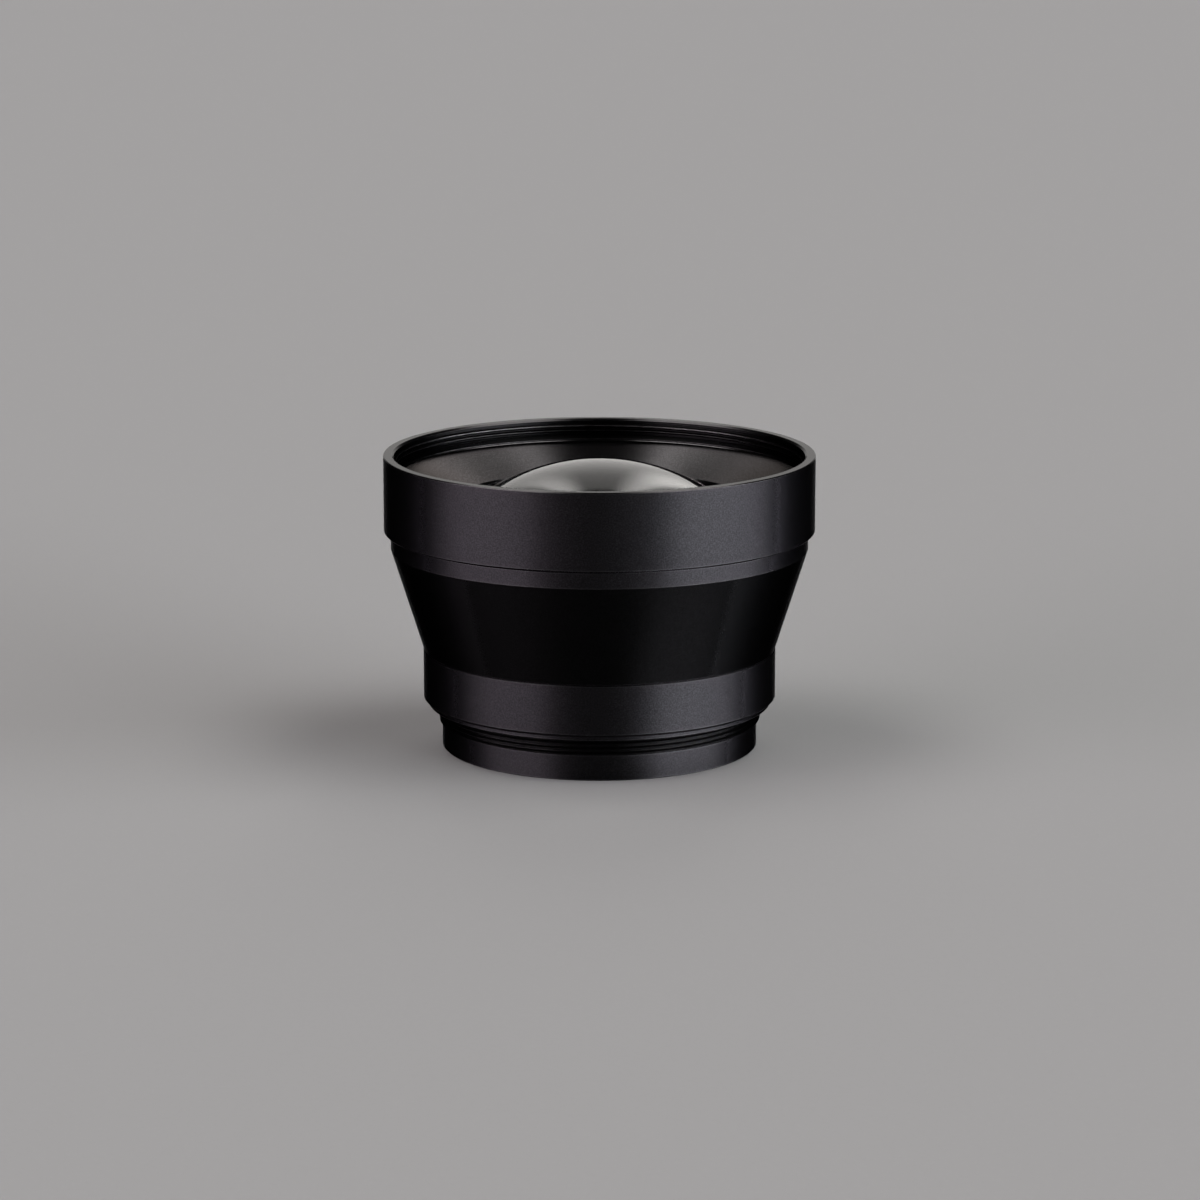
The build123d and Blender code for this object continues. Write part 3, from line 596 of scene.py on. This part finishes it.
def coat(name, tones, rough, pit_size, patch_size, relief=0.0, metallic=0.0, specular=0.5, turned=False):
    """A finish that drifts between two tones, with roughness from its pits and its relief in millimetres."""
    found = bpy.data.materials.get(name)
    if found:
        return found
    material, tree, shader = new_material(name)
    grain = use(tree, blast_grain(), Pit_Size=pit_size, Patch_Size=patch_size)
    tint = blend(tree, grain["Patches"], *tones)
    roughness = spread(tree, grain["Pits"], 0.3, 0.7, *rough)
    feed(tree, shader, Base_Color=tint, Roughness=roughness, Metallic=metallic, Specular_IOR_Level=specular)
    if relief > 0:
        height = use(tree, lathe_lines(), Line_Spacing=0.05)["Lines"] if turned else grain["Pits"]
        feed(tree, shader, Normal=raised(tree, height, relief))
    return material


def matt_black():
    """Anti-reflection paint: rough, dead black and slightly uneven."""
    paint = bpy.context.scene.converter_finish.matt_paint
    tones = scaled(paint, 0.7), scaled(paint, 1.3)
    return coat("matt_black", tones, (0.68, 0.86), 0.16, 4.0, 0.006, specular=0.3)


def blackened_edge():
    """Ground rim of a lens under black edge ink."""
    tones = (0.006, 0.006, 0.007, 1.0), (0.012, 0.012, 0.013, 1.0)
    return coat("blackened_edge", tones, (0.55, 0.75), 0.12, 3.0)


def moulded_acetal():
    """Black acetal with a soft moulded surface."""
    acetal = bpy.context.scene.converter_finish.acetal
    return coat("moulded_acetal", (scaled(acetal, 0.8), scaled(acetal, 1.2)), (0.42, 0.55), 0.25, 3.0, 0.003)


def plain_steel(name, tint, low, high):
    """Steel with a slow change of tone and fine marks: rolled shim stock or black oxide."""
    tones = scaled(tint, 0.85), scaled(tint, 1.1)
    return coat(name, tones, (low, high), 0.09, 2.5, 0.002, metallic=1.0, turned=True)


def lens_glass():
    """Polished glass with a faint bloom where the coating is uneven."""
    found = bpy.data.materials.get("lens_glass")
    if found:
        return found
    finish = bpy.context.scene.converter_finish
    material, tree, shader = new_material("lens_glass")
    grain = use(tree, blast_grain(), Pit_Size=1.8, Patch_Size=14.0)
    tint = blend(tree, grain["Patches"], scaled(finish.glass), scaled(finish.glass, 0.985))
    bloom = spread(tree, grain["Pits"], 0.45, 0.8, 0.0, 0.02)
    feed(tree, shader, Base_Color=tint, Roughness=bloom, Transmission_Weight=1.0, IOR=finish.glass_index)
    return material


def cement_film():
    """The clear cement between the two front glasses, which lets light straight through."""
    found = bpy.data.materials.get("cement_film")
    if found:
        return found
    material, tree, shader = new_material("cement_film")
    grain = use(tree, blast_grain(), Pit_Size=2.0, Patch_Size=9.0)
    tint = blend(tree, grain["Patches"], (0.9, 0.9, 0.88, 1.0), (0.95, 0.95, 0.93, 1.0))
    feed(tree, shader, Base_Color=tint, Alpha=0.0)
    return material


def wall_anodising(name, dye, wear_and_glint_amount):
    """Satin anodising of a finely turned wall, whose gloss is drawn out along the axis."""
    finish = bpy.context.scene.converter_finish
    rough, streak = finish.barrel_roughness, finish.barrel_streak
    # The last colour is the Specular Tint that dims the gloss at grazing angles, as painted shade at the
    # silhouettes.
    return anodising(name, dye, rough, 0.2, 0.0012, 0.0006, wear_and_glint_amount, (0.05, 0.05, 0.05), streak)


def barrel_finish():
    """Satin anodising of the outside walls."""
    return wall_anodising("barrel_anodising", bpy.context.scene.converter_finish.anodised, 0.5)


def shaded_finish():
    """The walls' anodising made darker as painted shade, for the cone, the threads and the thread relief, and
    the front ring's ledge, bores and lead-in.
    """
    return wall_anodising("cone_anodising", bpy.context.scene.converter_finish.cone, 0.3)


def turned_finish():
    """Smoother anodising of the rim, straight from the lathe."""
    dye = bpy.context.scene.converter_finish.turned
    return anodising("turned_anodising", dye, 0.2, 0.09, 0.0003, 0.0012, 0.5, (0.55, 0.55, 0.55))


def retainer_finish():
    """Anodising of the finely turned retainer."""
    finish = bpy.context.scene.converter_finish
    rough, dye = finish.retainer_roughness, finish.turned * 1.4
    return anodising("retainer_anodising", dye, rough, 0.2, 0.0014, 0.0012, 0.35, (0.45, 0.44, 0.43))


# Pieces


class CONVERTER_OT_front_ring(bpy.types.Operator):
    """Front ring: plain wall, chamfered rim, lead-in, female filter thread and the ledge under it"""

    bl_idname = "converter.front_ring"
    bl_label = "Front Ring"

    def execute(self, context):
        """A rounded section swept round the axis; below the lead-in, the wall less depth times the ridge."""
        size, rear = context.scene.converter_front, context.scene.converter_rear
        radius, low, high = reach("front_ring"), foot("front_ring"), top("front_ring")
        chamfer = size.rim_chamfer
        lead, lead_foot = size.filter_thread_radius + FIT, high - size.filter_lead
        section, wear = rounded(
            (size.filter_thread_radius, size.ledge_top),
            (size.retainer_bore, size.ledge_base, 0.4),
            (size.retainer_bore, top("front_cell")),
            (size.ring_bore, top("front_cell")),
            (size.ring_bore, low),
            (radius - chamfer, low),
            (radius, low + chamfer, 0.12),
            (radius, high - size.edge_break, 0.2),
            (radius - size.edge_break, high, 0.35),
            (lead + chamfer, high, 0.3),
            (lead, high - chamfer, 0.2),
            (lead, lead_foot, 0.1),
        )
        points, ridge, window = threaded(
            section,
            rows=72,
            pitch=rear.thread_pitch,
            crest=size.filter_thread_crest,
            fade_in=(size.ledge_top + 0.02 * MM, size.ledge_top + 0.2 * MM),
            fade_out=(lead_foot - 0.25 * MM, lead_foot),
            depth=-size.filter_thread_depth,
        )
        # Painted highlight: the first turns of thread below the lead-in take the light edge colour, as if their
        # crests caught the light.
        painted_crest_glint = ridge**6 * window * ease(points[..., 2], high - 2.3 * MM, high - 0.9 * MM)
        wear = np.pad(wear, (0, len(points) - len(wear)))[:, None] + painted_crest_glint
        # The lead-in, the thread, the ledge and the bores take the darker copy of the anodising, as painted
        # shade; the rim takes the turned finish.
        bands = np.zeros(len(points), int)
        bands[middle_row(7) : middle_row(10)] = 1
        bands[middle_row(10) :] = 2
        bands[: 5 * CORNER_ROWS] = 2
        finishes = [barrel_finish(), turned_finish(), shaded_finish()]
        ring = skin("front_ring_turned", points, wear, finishes, bands)
        settle(ring, "front_ring")
        return {"FINISHED"}


class CONVERTER_OT_front_retainer(bpy.types.Operator):
    """Front retainer: the black cone round the glass, its foot on the cushion and two spanner notches"""

    bl_idname = "converter.front_retainer"
    bl_label = "Front Retainer"

    def execute(self, context):
        """A rounded section swept round the axis; between a notch's walls no height is above its floor."""
        size, glass = context.scene.converter_front, context.scene.converter_glass
        radius, high = reach("front_retainer"), top("front_retainer")
        vertex, edge = top("front_crown_element"), reach("front_crown_element")
        base = bowl(size.retainer_clear, vertex, glass.crown_sag, edge) + size.retainer_lift
        heel = bowl(edge, vertex, glass.crown_sag, edge) + size.retainer_lift
        step, disc = top("front_cell") - size.retainer_reach, top("front_cell") + size.retainer_disc
        cone_foot = size.retainer_clear + size.foot_chamfer
        cone_base = bowl(cone_foot, vertex, glass.crown_sag, edge) + size.foot_thickness
        section, wear = rounded(
            (size.retainer_clear, base),
            (edge - FIT, heel),
            (edge - FIT, step),
            (size.retainer_step, step),
            (size.retainer_step, disc),
            (radius, disc),
            (radius, high, 0.5, size.retainer_round / size.corner_round),
            (size.cone_rim + size.cone_edge, high, 0.7),
            (size.cone_rim, high - size.cone_edge, 0.3),
            (cone_foot, cone_base, 0.2),
            (size.retainer_clear, cone_base - size.foot_chamfer, 0.3),
        )
        level = high - size.notch_depth
        cone = 9 * CORNER_ROWS
        rim, hem = section[cone - 1], section[cone]
        notch_end = (rim[1] - level) / (rim[1] - hem[1])
        run = np.array([0.5, 0.96, 1.0, 1.04, 1.6])[:, None] * notch_end
        section = np.insert(section, cone, rim + (hem - rim) * run, axis=0)
        wear = np.insert(wear, cone, np.zeros(len(run)))
        half = size.notch_width / 2 / radius
        wall = np.array([-half, -half * 0.98, half * 0.98, half])
        turn = np.sort(np.concatenate([turns(COLUMNS - 2 * len(wall)), wall % (2 * np.pi), wall + np.pi]))
        points = sweep(section, turn).copy()
        away = np.abs((turn + np.pi / 2) % np.pi - np.pi / 2)
        inside = (away < half * 0.99)[None, :]
        height = points[..., 2]
        outer = (np.arange(len(section)) >= 5 * CORNER_ROWS) & (section[:, 0] > radius - 0.001 * MM)
        pressed = height - size.notch_depth * (height - disc) / (high - disc)
        cut = np.where(outer[:, None], pressed, np.minimum(height, level))
        points[..., 2] = np.where(inside & (height > disc), cut, height)
        cone_ring = skin("front_retainer_cone", points, wear, [retainer_finish()])
        settle(cone_ring, "front_retainer")
        return {"FINISHED"}


class CONVERTER_OT_main_barrel(bpy.types.Operator):
    """Main barrel: the cone, the band under the front ring, the skirt and the front spigot"""

    bl_idname = "converter.main_barrel"
    bl_label = "Main Barrel"

    def execute(self, context):
        """A rounded section swept round the axis."""
        size = context.scene.converter_front
        low, high, band = foot("main_barrel"), top("main_barrel"), reach("main_barrel")
        small = size.edge_break
        skirt_top = top("rear_barrel") + FIT
        section, wear = rounded(
            (size.skirt_bore, low),
            (size.cone_rear - small, low, 0.1),
            (size.cone_rear, low + small, 0.1),
            (band, size.band_foot, 0.12, 3),
            (band, size.band_top - small, 0.15),
            (band - small, size.band_top, 0.1),
            (size.spigot_radius, size.band_top),
            (size.spigot_radius, high),
            (size.spigot_bore, high),
            (size.spigot_bore, size.cell_neck_foot),
            (size.cell_side, foot("front_cell")),
            (size.skirt_stop, skirt_top + size.skirt_relief),
            (size.skirt_stop, skirt_top),
            (size.skirt_bore, skirt_top),
        )
        # The cone takes the darker copy of the anodising, as painted shade.
        bands = np.zeros(len(wear), int)
        bands[middle_row(2) : middle_row(3)] = 1
        points = sweep(section, turns(COLUMNS))
        barrel = skin("main_barrel_cone", points, wear, [barrel_finish(), shaded_finish()], bands)
        settle(barrel, "main_barrel")
        return {"FINISHED"}


class CONVERTER_OT_rear_barrel(bpy.types.Operator):
    """Rear barrel: lip, chamfer and plain cylinder outside, spigot and shelf inside"""

    bl_idname = "converter.rear_barrel"
    bl_label = "Rear Barrel"

    def execute(self, context):
        """A rounded section swept round the axis."""
        size = context.scene.converter_rear
        small, wide = context.scene.converter_front.edge_break, size.barrel_chamfer
        low, joint, high = foot("rear_barrel"), foot("main_barrel"), top("rear_barrel")
        radius, flange, spigot = reach("rear_barrel"), reach("mount_ring") + FIT, size.mount_spigot + FIT
        section, wear = rounded(
            (flange, low),
            (size.lip_radius - small, low, 0.2),
            (size.lip_radius, low + small, 0.25),
            (size.lip_radius, size.lip_top),
            (radius - wide, size.lip_top, 0.1),
            (radius, size.lip_top + wide, 0.15),
            (radius, joint - small, 0.15),
            (radius - small, joint, 0.1),
            (size.rear_spigot, joint),
            (size.rear_spigot, high),
            (size.rear_spigot_bore, high),
            (size.rear_spigot_bore, size.shelf_top),
            (size.shelf_bore, size.shelf_top),
            (size.shelf_bore, size.shelf_base),
            (spigot, size.shelf_base),
            (spigot, size.flange_top),
            (flange, size.flange_top),
        )
        barrel = skin("rear_barrel_turned", sweep(section, turns(COLUMNS)), wear, [barrel_finish()])
        settle(barrel, "rear_barrel")
        return {"FINISHED"}


class CONVERTER_OT_mount_ring(bpy.types.Operator):
    """Mount ring: plain pilot, male thread, thread relief, locating flange and spigot"""

    bl_idname = "converter.mount_ring"
    bl_label = "Mount Ring"

    def execute(self, context):
        """A rounded section swept round the axis; along the thread, the root plus depth times the ridge."""
        size = context.scene.converter_rear
        small = context.scene.converter_front.edge_break
        shoulder, flange, high = foot("rear_barrel"), reach("mount_ring"), top("mount_ring")
        section, wear = rounded(
            (size.relief_radius, size.mount_thread_top),
            (size.relief_radius, shoulder),
            (flange, shoulder),
            (flange, size.flange_top),
            (size.mount_spigot, size.flange_top),
            (size.mount_spigot, high),
            (size.mount_bore, high),
            (size.mount_bore, small, 0.2),
            (size.mount_bore + small, 0, 0.3),
            (size.pilot_radius - small, 0, 0.4),
            (size.pilot_radius, small, 0.4),
            (size.pilot_radius, size.mount_thread_foot, 0.1),
        )
        points, _, _ = threaded(
            section,
            rows=88,
            pitch=size.thread_pitch,
            crest=size.mount_thread_crest,
            fade_in=(size.mount_thread_foot + 0.05 * MM, size.mount_thread_foot + 0.35 * MM),
            fade_out=(size.mount_thread_top - 0.3 * MM, size.mount_thread_top - 0.1 * MM),
            depth=size.mount_thread_depth,
            root=size.mount_thread_radius - size.mount_thread_depth,
        )
        # Along the thread, every row takes a small even share of the worn-and-glinting edge colour.
        wear = np.pad(wear, (0, len(points) - len(wear)), constant_values=0.06)
        # The thread and its relief take the darker copy of the anodising, as painted shade.
        bands = np.zeros(len(points), int)
        bands[: 2 * CORNER_ROWS] = 1
        bands[len(section) - 1 :] = 1
        ring = skin("mount_ring_threaded", points, wear, [barrel_finish(), shaded_finish()], bands)
        settle(ring, "mount_ring")
        return {"FINISHED"}


def lens(node, under, over, rim, materials, bands, columns=256, rows=72):
    """Round glass between two spherical surfaces, with flat annuli and a ground rim.

    under and over give vertex, sag and clear radius. Each surface is its sphere's height over equal steps of
    radius, the rim runs between them with a narrow chamfer, and both ends of the section close at a pole on the
    axis.
    """
    reach_share = np.linspace(0, 1, rows + 1)[1:]
    chamfer = bpy.context.scene.converter_glass.glass_chamfer
    low_radius, high_radius = reach_share * under[2], reach_share[::-1] * over[2]
    low = np.stack([low_radius, bowl(low_radius, *under)], axis=1)
    high = np.stack([high_radius, bowl(high_radius, *over)], axis=1)
    low_edge, high_edge = low[-1, 1], high[0, 1]
    side_radius = np.array([rim - chamfer, rim, rim, rim - chamfer])
    side_height = np.array([low_edge, low_edge + chamfer, high_edge - chamfer, high_edge])
    side = np.stack([side_radius, side_height], axis=1)
    low = low[low[:, 0] < rim - 1.5 * chamfer]
    high = high[high[:, 0] < rim - 1.5 * chamfer]
    section = np.concatenate([low, side, high])
    band = np.repeat(bands, (len(low) - 1, len(side) + 1, len(high)))
    points, poles = sweep(section, turns(columns)), (under[0], over[0])
    glass = skin(node.replace("element", "glass"), points, np.zeros(len(section)), materials, band, poles)
    settle(glass, node)


class CONVERTER_OT_glasses(bpy.types.Operator):
    """The four glasses: domed crown and its cemented flint in front, hollow glass and meniscus behind"""

    bl_idname = "converter.glasses"
    bl_label = "Glasses"

    def execute(self, context):
        """Each surface is a sphere given by vertex and sag; vertices and rims come from the solids' boxes."""
        size = context.scene.converter_glass
        glass = [lens_glass(), blackened_edge(), cement_film()]
        rim = reach("front_crown_element")
        crown_foot, crown_top = foot("front_crown_element"), top("front_crown_element")
        lens(
            "front_crown_element",
            (crown_foot, -size.cemented_sag, rim),
            (crown_top, size.crown_sag, rim),
            rim,
            glass,
            (2, 1, 0),
            COLUMNS,
            110,
        )
        seat = foot("front_flint_element")
        lens(
            "front_flint_element",
            (seat + size.flint_sag, size.flint_sag, size.flint_clear),
            (crown_foot - size.cement_gap, -size.cemented_sag, rim),
            rim,
            glass,
            (0, 1, 2),
        )
        low, high = foot("rear_negative_element"), top("rear_negative_element")
        lens(
            "rear_negative_element",
            (low + size.negative_rear_sag, size.negative_rear_sag, size.rear_clear),
            (high - size.negative_front_sag, -size.negative_front_sag, size.rear_clear),
            reach("rear_negative_element"),
            glass,
            (0, 1, 0),
        )
        low, high = foot("rear_meniscus_element"), top("rear_meniscus_element")
        lens(
            "rear_meniscus_element",
            (low + size.meniscus_rear_sag, size.meniscus_rear_sag, size.rear_clear),
            (high, size.meniscus_front_sag, size.rear_clear),
            reach("rear_meniscus_element"),
            glass,
            (0, 1, 0),
        )
        return {"FINISHED"}


class CONVERTER_OT_inner_pieces(bpy.types.Operator):
    """Finishes of the pieces whose solids are shown as they are: cells, baffles, spacer, shim and screws"""

    bl_idname = "converter.inner_pieces"
    bl_label = "Inner Pieces"

    def execute(self, context):
        """Each solid takes the finish of its material slot."""
        finish = context.scene.converter_finish
        paint, acetal = matt_black(), moulded_acetal()
        shim = plain_steel("rolled_shim", finish.shim_steel, 0.22, 0.34)
        screws = plain_steel("black_oxide", finish.oxide_steel, 0.3, 0.45)
        finishes = {"front_cushion_ring": acetal, "cell_shim": shim}
        finishes |= dict.fromkeys(("centring_screws", "rear_cell_screws"), screws)
        painted = "front_cell light_baffle flare_stop rear_cell rear_spacer rear_retainer rear_baffle".split()
        finishes |= dict.fromkeys(painted, paint)
        for node, material in finishes.items():
            for place_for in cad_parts[node].material_slots:
                place_for.material = material
        return {"FINISHED"}


# Studio


def soft_panel(name, bearing, away, spans, shares, light, tint):
    """Four lamps, one inside the other, that lie on the floor and shine up, unseen by the camera.

    Their middle lies at a bearing and a distance from the axis. spans are the panel's sides across the bearing
    and along it, and shares what part of them each lamp takes. A mirror shows a lamp as bright as a quarter of
    its power over its area, so the four together are as bright as the light.
    """
    side, back = Vector((math.cos(bearing), -math.sin(bearing), 0)), Vector((0, 0, -1))
    turn = Matrix((side, back.cross(side), back)).transposed()
    centre = (away * math.sin(bearing), away * math.cos(bearing), 1 * MM)
    for letter, wide, long in zip("abcd", *shares):
        across, along = spans[0] * wide, spans[1] * long
        lamp = bpy.data.lights.new(name + letter, "AREA")
        lamp.shape = "RECTANGLE"
        lamp.size, lamp.size_y = across, along
        lamp.energy = light * across * along
        lamp.color = tint
        piece = bpy.data.objects.new(name + letter, lamp)
        bpy.context.scene.collection.objects.link(piece)
        piece.matrix_world = Matrix.Translation(centre) @ turn.to_4x4()
        piece.visible_camera = False


class CONVERTER_OT_studio(bpy.types.Operator):
    """Paper floor, a standing, a lying and a high panel on each side, a lit card, a backdrop and the camera"""

    bl_idname = "converter.studio"
    bl_label = "Studio"

    def execute(self, context):
        """The lying panels are rectangular lamps, and everything else is the world's light."""
        scene, size = context.scene, context.scene.converter_studio
        self.lay_floor(size)
        self.light_wall(scene, size)
        shares = (0.64, 0.88, 1.12, 1.36), (0.97, 0.99, 1.01, 1.03)
        for side in ("left", "right"):
            keys = ("bearing", "low_light", "near", "width", "tint")
            bearing, light, near, width, tint = (getattr(size, side + "_" + key) for key in keys)
            spans = width, size.low_reach - near
            soft_panel(side + "_low_panel_", bearing, (near + size.low_reach) / 2, spans, shares, light, tint)
        spans, shares = (size.card_size, size.card_size), ((0.6, 1.0, 1.4, 1.8),) * 2
        bearing, away, light = size.card_bearing, size.card_distance, size.card_light
        soft_panel("right_card_", bearing, away, spans, shares, light, size.right_tint)
        self.aim_camera(scene, size)
        return {"FINISHED"}

    def aim_camera(self, scene, size):
        """A camera straight in front, looking down at the aim point on the axis."""
        camera = bpy.data.cameras.new("camera")
        camera.lens = size.focal_length
        camera.sensor_width = 36.0
        camera.shift_x = size.shift
        camera.clip_start, camera.clip_end = 0.01, 20.0
        viewer = bpy.data.objects.new("camera", camera)
        scene.collection.objects.link(viewer)
        pitch, distance = size.camera_pitch, size.camera_distance
        viewer.location = (0, -distance * math.cos(pitch), size.aim_height + distance * math.sin(pitch))
        viewer.rotation_euler = (math.pi / 2 - pitch, 0, 0)
        scene.camera = viewer
        scene.view_settings.view_transform = "Standard"

    def lay_floor(self, size):
        """A flat sheet of pale paper, seen through from below."""
        half = 4.0
        corners = [(-half, -half, 0), (half, -half, 0), (half, half, 0), (-half, half, 0)]
        mesh = bpy.data.meshes.new("paper_floor")
        mesh.from_pydata(corners, [], [(0, 1, 2, 3)])
        material, tree, shader = new_material("paper")
        grain = use(tree, blast_grain(), Pit_Size=0.9, Patch_Size=900.0)
        tint = blend(tree, grain["Pits"], scaled(size.floor, 0.985), scaled(size.floor, 1.015))
        feed(tree, shader, Base_Color=tint, Roughness=0.95, Specular_IOR_Level=0.0)
        clear = place(tree, "ShaderNodeBsdfTransparent")
        under = place(tree, "ShaderNodeNewGeometry").outputs["Backfacing"]
        mixed = place(tree, "ShaderNodeMixShader", {0: under, 1: shader.outputs[0], 2: clear.outputs[0]})
        output = next(node for node in tree.nodes if node.bl_idname == "ShaderNodeOutputMaterial")
        tree.links.new(mixed.outputs[0], output.inputs["Surface"])
        mesh.materials.append(material)
        floor = bpy.data.objects.new("paper_floor", mesh)
        bpy.context.scene.collection.objects.link(floor)

    def light_wall(self, scene, size):
        """World light: bearing is the arctangent of x over y, elevation the arcsine of z."""
        world = bpy.data.worlds.new("studio")
        scene.world = world
        world.use_nodes = True
        tree = world.node_tree
        tree.nodes.clear()
        towards = place(tree, "ShaderNodeTexCoord").outputs["Generated"]
        x, y, z = place(tree, "ShaderNodeSeparateXYZ", {0: towards}).outputs
        elevation = reckon(tree, "MULTIPLY", reckon(tree, "ARCSINE", z), 180 / math.pi)
        bearing = reckon(tree, "MULTIPLY", reckon(tree, "ARCTAN2", x, y), 180 / math.pi)
        offset = reckon(tree, "ABSOLUTE", bearing)

        def shaped(value, *steps):
            """A brightness times smooth steps: what each follows, its start and end, and the values there."""
            for follows, low, high, start, end in steps:
                step = spread(tree, follows, low, high, start, end, "SMOOTHSTEP")
                value = reckon(tree, "MULTIPLY", value, step)
            return value

        low_glow = shaped(
            size.glow,
            (offset, 14.0, 26.0, 1.0, 0.0),
            (elevation, -1.0, 1.5, 0.0, 1.0),
            (elevation, 20.0, 40.0, 1.0, 0.78),
            (elevation, 51.0, 57.0, 1.0, 0.03),
        )
        right_patch = shaped(
            size.right_patch,
            (bearing, 5.0, 17.0, 0.0, 1.0),
            (bearing, 16.5, 22.5, 1.0, 0.0),
            (elevation, 2.0, 34.0, 0.0, 1.0),
            (elevation, 55.0, 60.0, 1.0, 0.0),
        )
        left_patch = shaped(
            size.left_patch,
            (bearing, -17.0, -5.0, 1.0, 0.0),
            (bearing, -22.5, -16.5, 0.0, 1.0),
            (elevation, 16.0, 58.0, 0.0, 1.0),
            (elevation, 55.0, 60.0, 1.0, 0.0),
        )
        high_panels = shaped(
            size.high_light,
            (offset, 40.0, 56.0, 0.0, 1.0),
            (offset, 124.0, 140.0, 1.0, 0.0),
            (elevation, 46.0, 54.0, 0.0, 1.0),
            (elevation, 71.0, 78.0, 1.0, 0.0),
        )
        behind = size.fill
        for part in (low_glow, right_patch, left_patch, high_panels):
            behind = reckon(tree, "ADD", part, behind)
        glow = place(tree, "ShaderNodeBackground", {"Color": scaled(size.glow_tint), "Strength": behind})
        light = glow.outputs[0]
        edge = math.degrees(size.edge_softness)
        for side in ("left", "right"):
            middle, half = (math.degrees(getattr(size, side + key)) for key in ("_bearing", "_half"))
            brightness, tint = getattr(size, side + "_light"), getattr(size, side + "_tint")
            away = reckon(tree, "ABSOLUTE", reckon(tree, "SUBTRACT", bearing, middle))
            stands = (away, half - edge, half + edge, 1.0, 0.0), (elevation, 8.0, 20.0, 1.0, 0.0)
            panel = shaped(brightness, *stands)
            lit = place(tree, "ShaderNodeBackground", {"Color": scaled(tint), "Strength": panel})
            light = place(tree, "ShaderNodeAddShader", {0: light, 1: lit.outputs[0]}).outputs[0]
        seen = place(tree, "ShaderNodeLightPath").outputs["Is Camera Ray"]
        backdrop = place(tree, "ShaderNodeBackground", {"Color": scaled(size.floor), "Strength": 1.0})
        mixed = place(tree, "ShaderNodeMixShader", {0: seen, 1: light, 2: backdrop.outputs[0]})
        place(tree, "ShaderNodeOutputWorld", {"Surface": mixed.outputs[0]})


class CONVERTER_PT_maker(bpy.types.Panel):
    """Lists the pieces, the studio and their settings"""

    bl_label = "Teleconverter"
    bl_idname = "CONVERTER_PT_maker"
    bl_space_type = "VIEW_3D"
    bl_region_type = "UI"
    bl_category = "Converter"

    def draw(self, context):
        layout = self.layout
        for operator in OPERATORS:
            layout.operator(operator.bl_idname)
        for name, (_, label) in SETTINGS.items():
            box = layout.box()
            box.label(text=label)
            group = getattr(context.scene, name)
            for key in group.bl_rna.properties.keys():
                if key not in ("rna_type", "name"):
                    box.prop(group, key)


OPERATORS = (
    CONVERTER_OT_studio,
    CONVERTER_OT_mount_ring,
    CONVERTER_OT_rear_barrel,
    CONVERTER_OT_main_barrel,
    CONVERTER_OT_front_ring,
    CONVERTER_OT_front_retainer,
    CONVERTER_OT_glasses,
    CONVERTER_OT_inner_pieces,
)
SETTINGS = {
    "converter_rear": (ConverterRearSizes, "Rear sizes"),
    "converter_front": (ConverterFrontSizes, "Front sizes"),
    "converter_glass": (ConverterGlassSizes, "Glass sizes"),
    "converter_finish": (ConverterFinish, "Finish"),
    "converter_studio": (ConverterStudio, "Studio"),
}


def register():
    for name, (group, _) in SETTINGS.items():
        bpy.utils.register_class(group)
        setattr(bpy.types.Scene, name, PointerProperty(type=group))
    for operator in (*OPERATORS, CONVERTER_PT_maker):
        bpy.utils.register_class(operator)


def unregister():
    for operator in reversed((*OPERATORS, CONVERTER_PT_maker)):
        bpy.utils.unregister_class(operator)
    for name, (group, _) in reversed(SETTINGS.items()):
        delattr(bpy.types.Scene, name)
        bpy.utils.unregister_class(group)


def main():
    """Makes everything in order."""
    register()
    for operator in OPERATORS:
        category, name = operator.bl_idname.split(".")
        getattr(getattr(bpy.ops, category), name)()


if __name__ == "__main__":
    main()
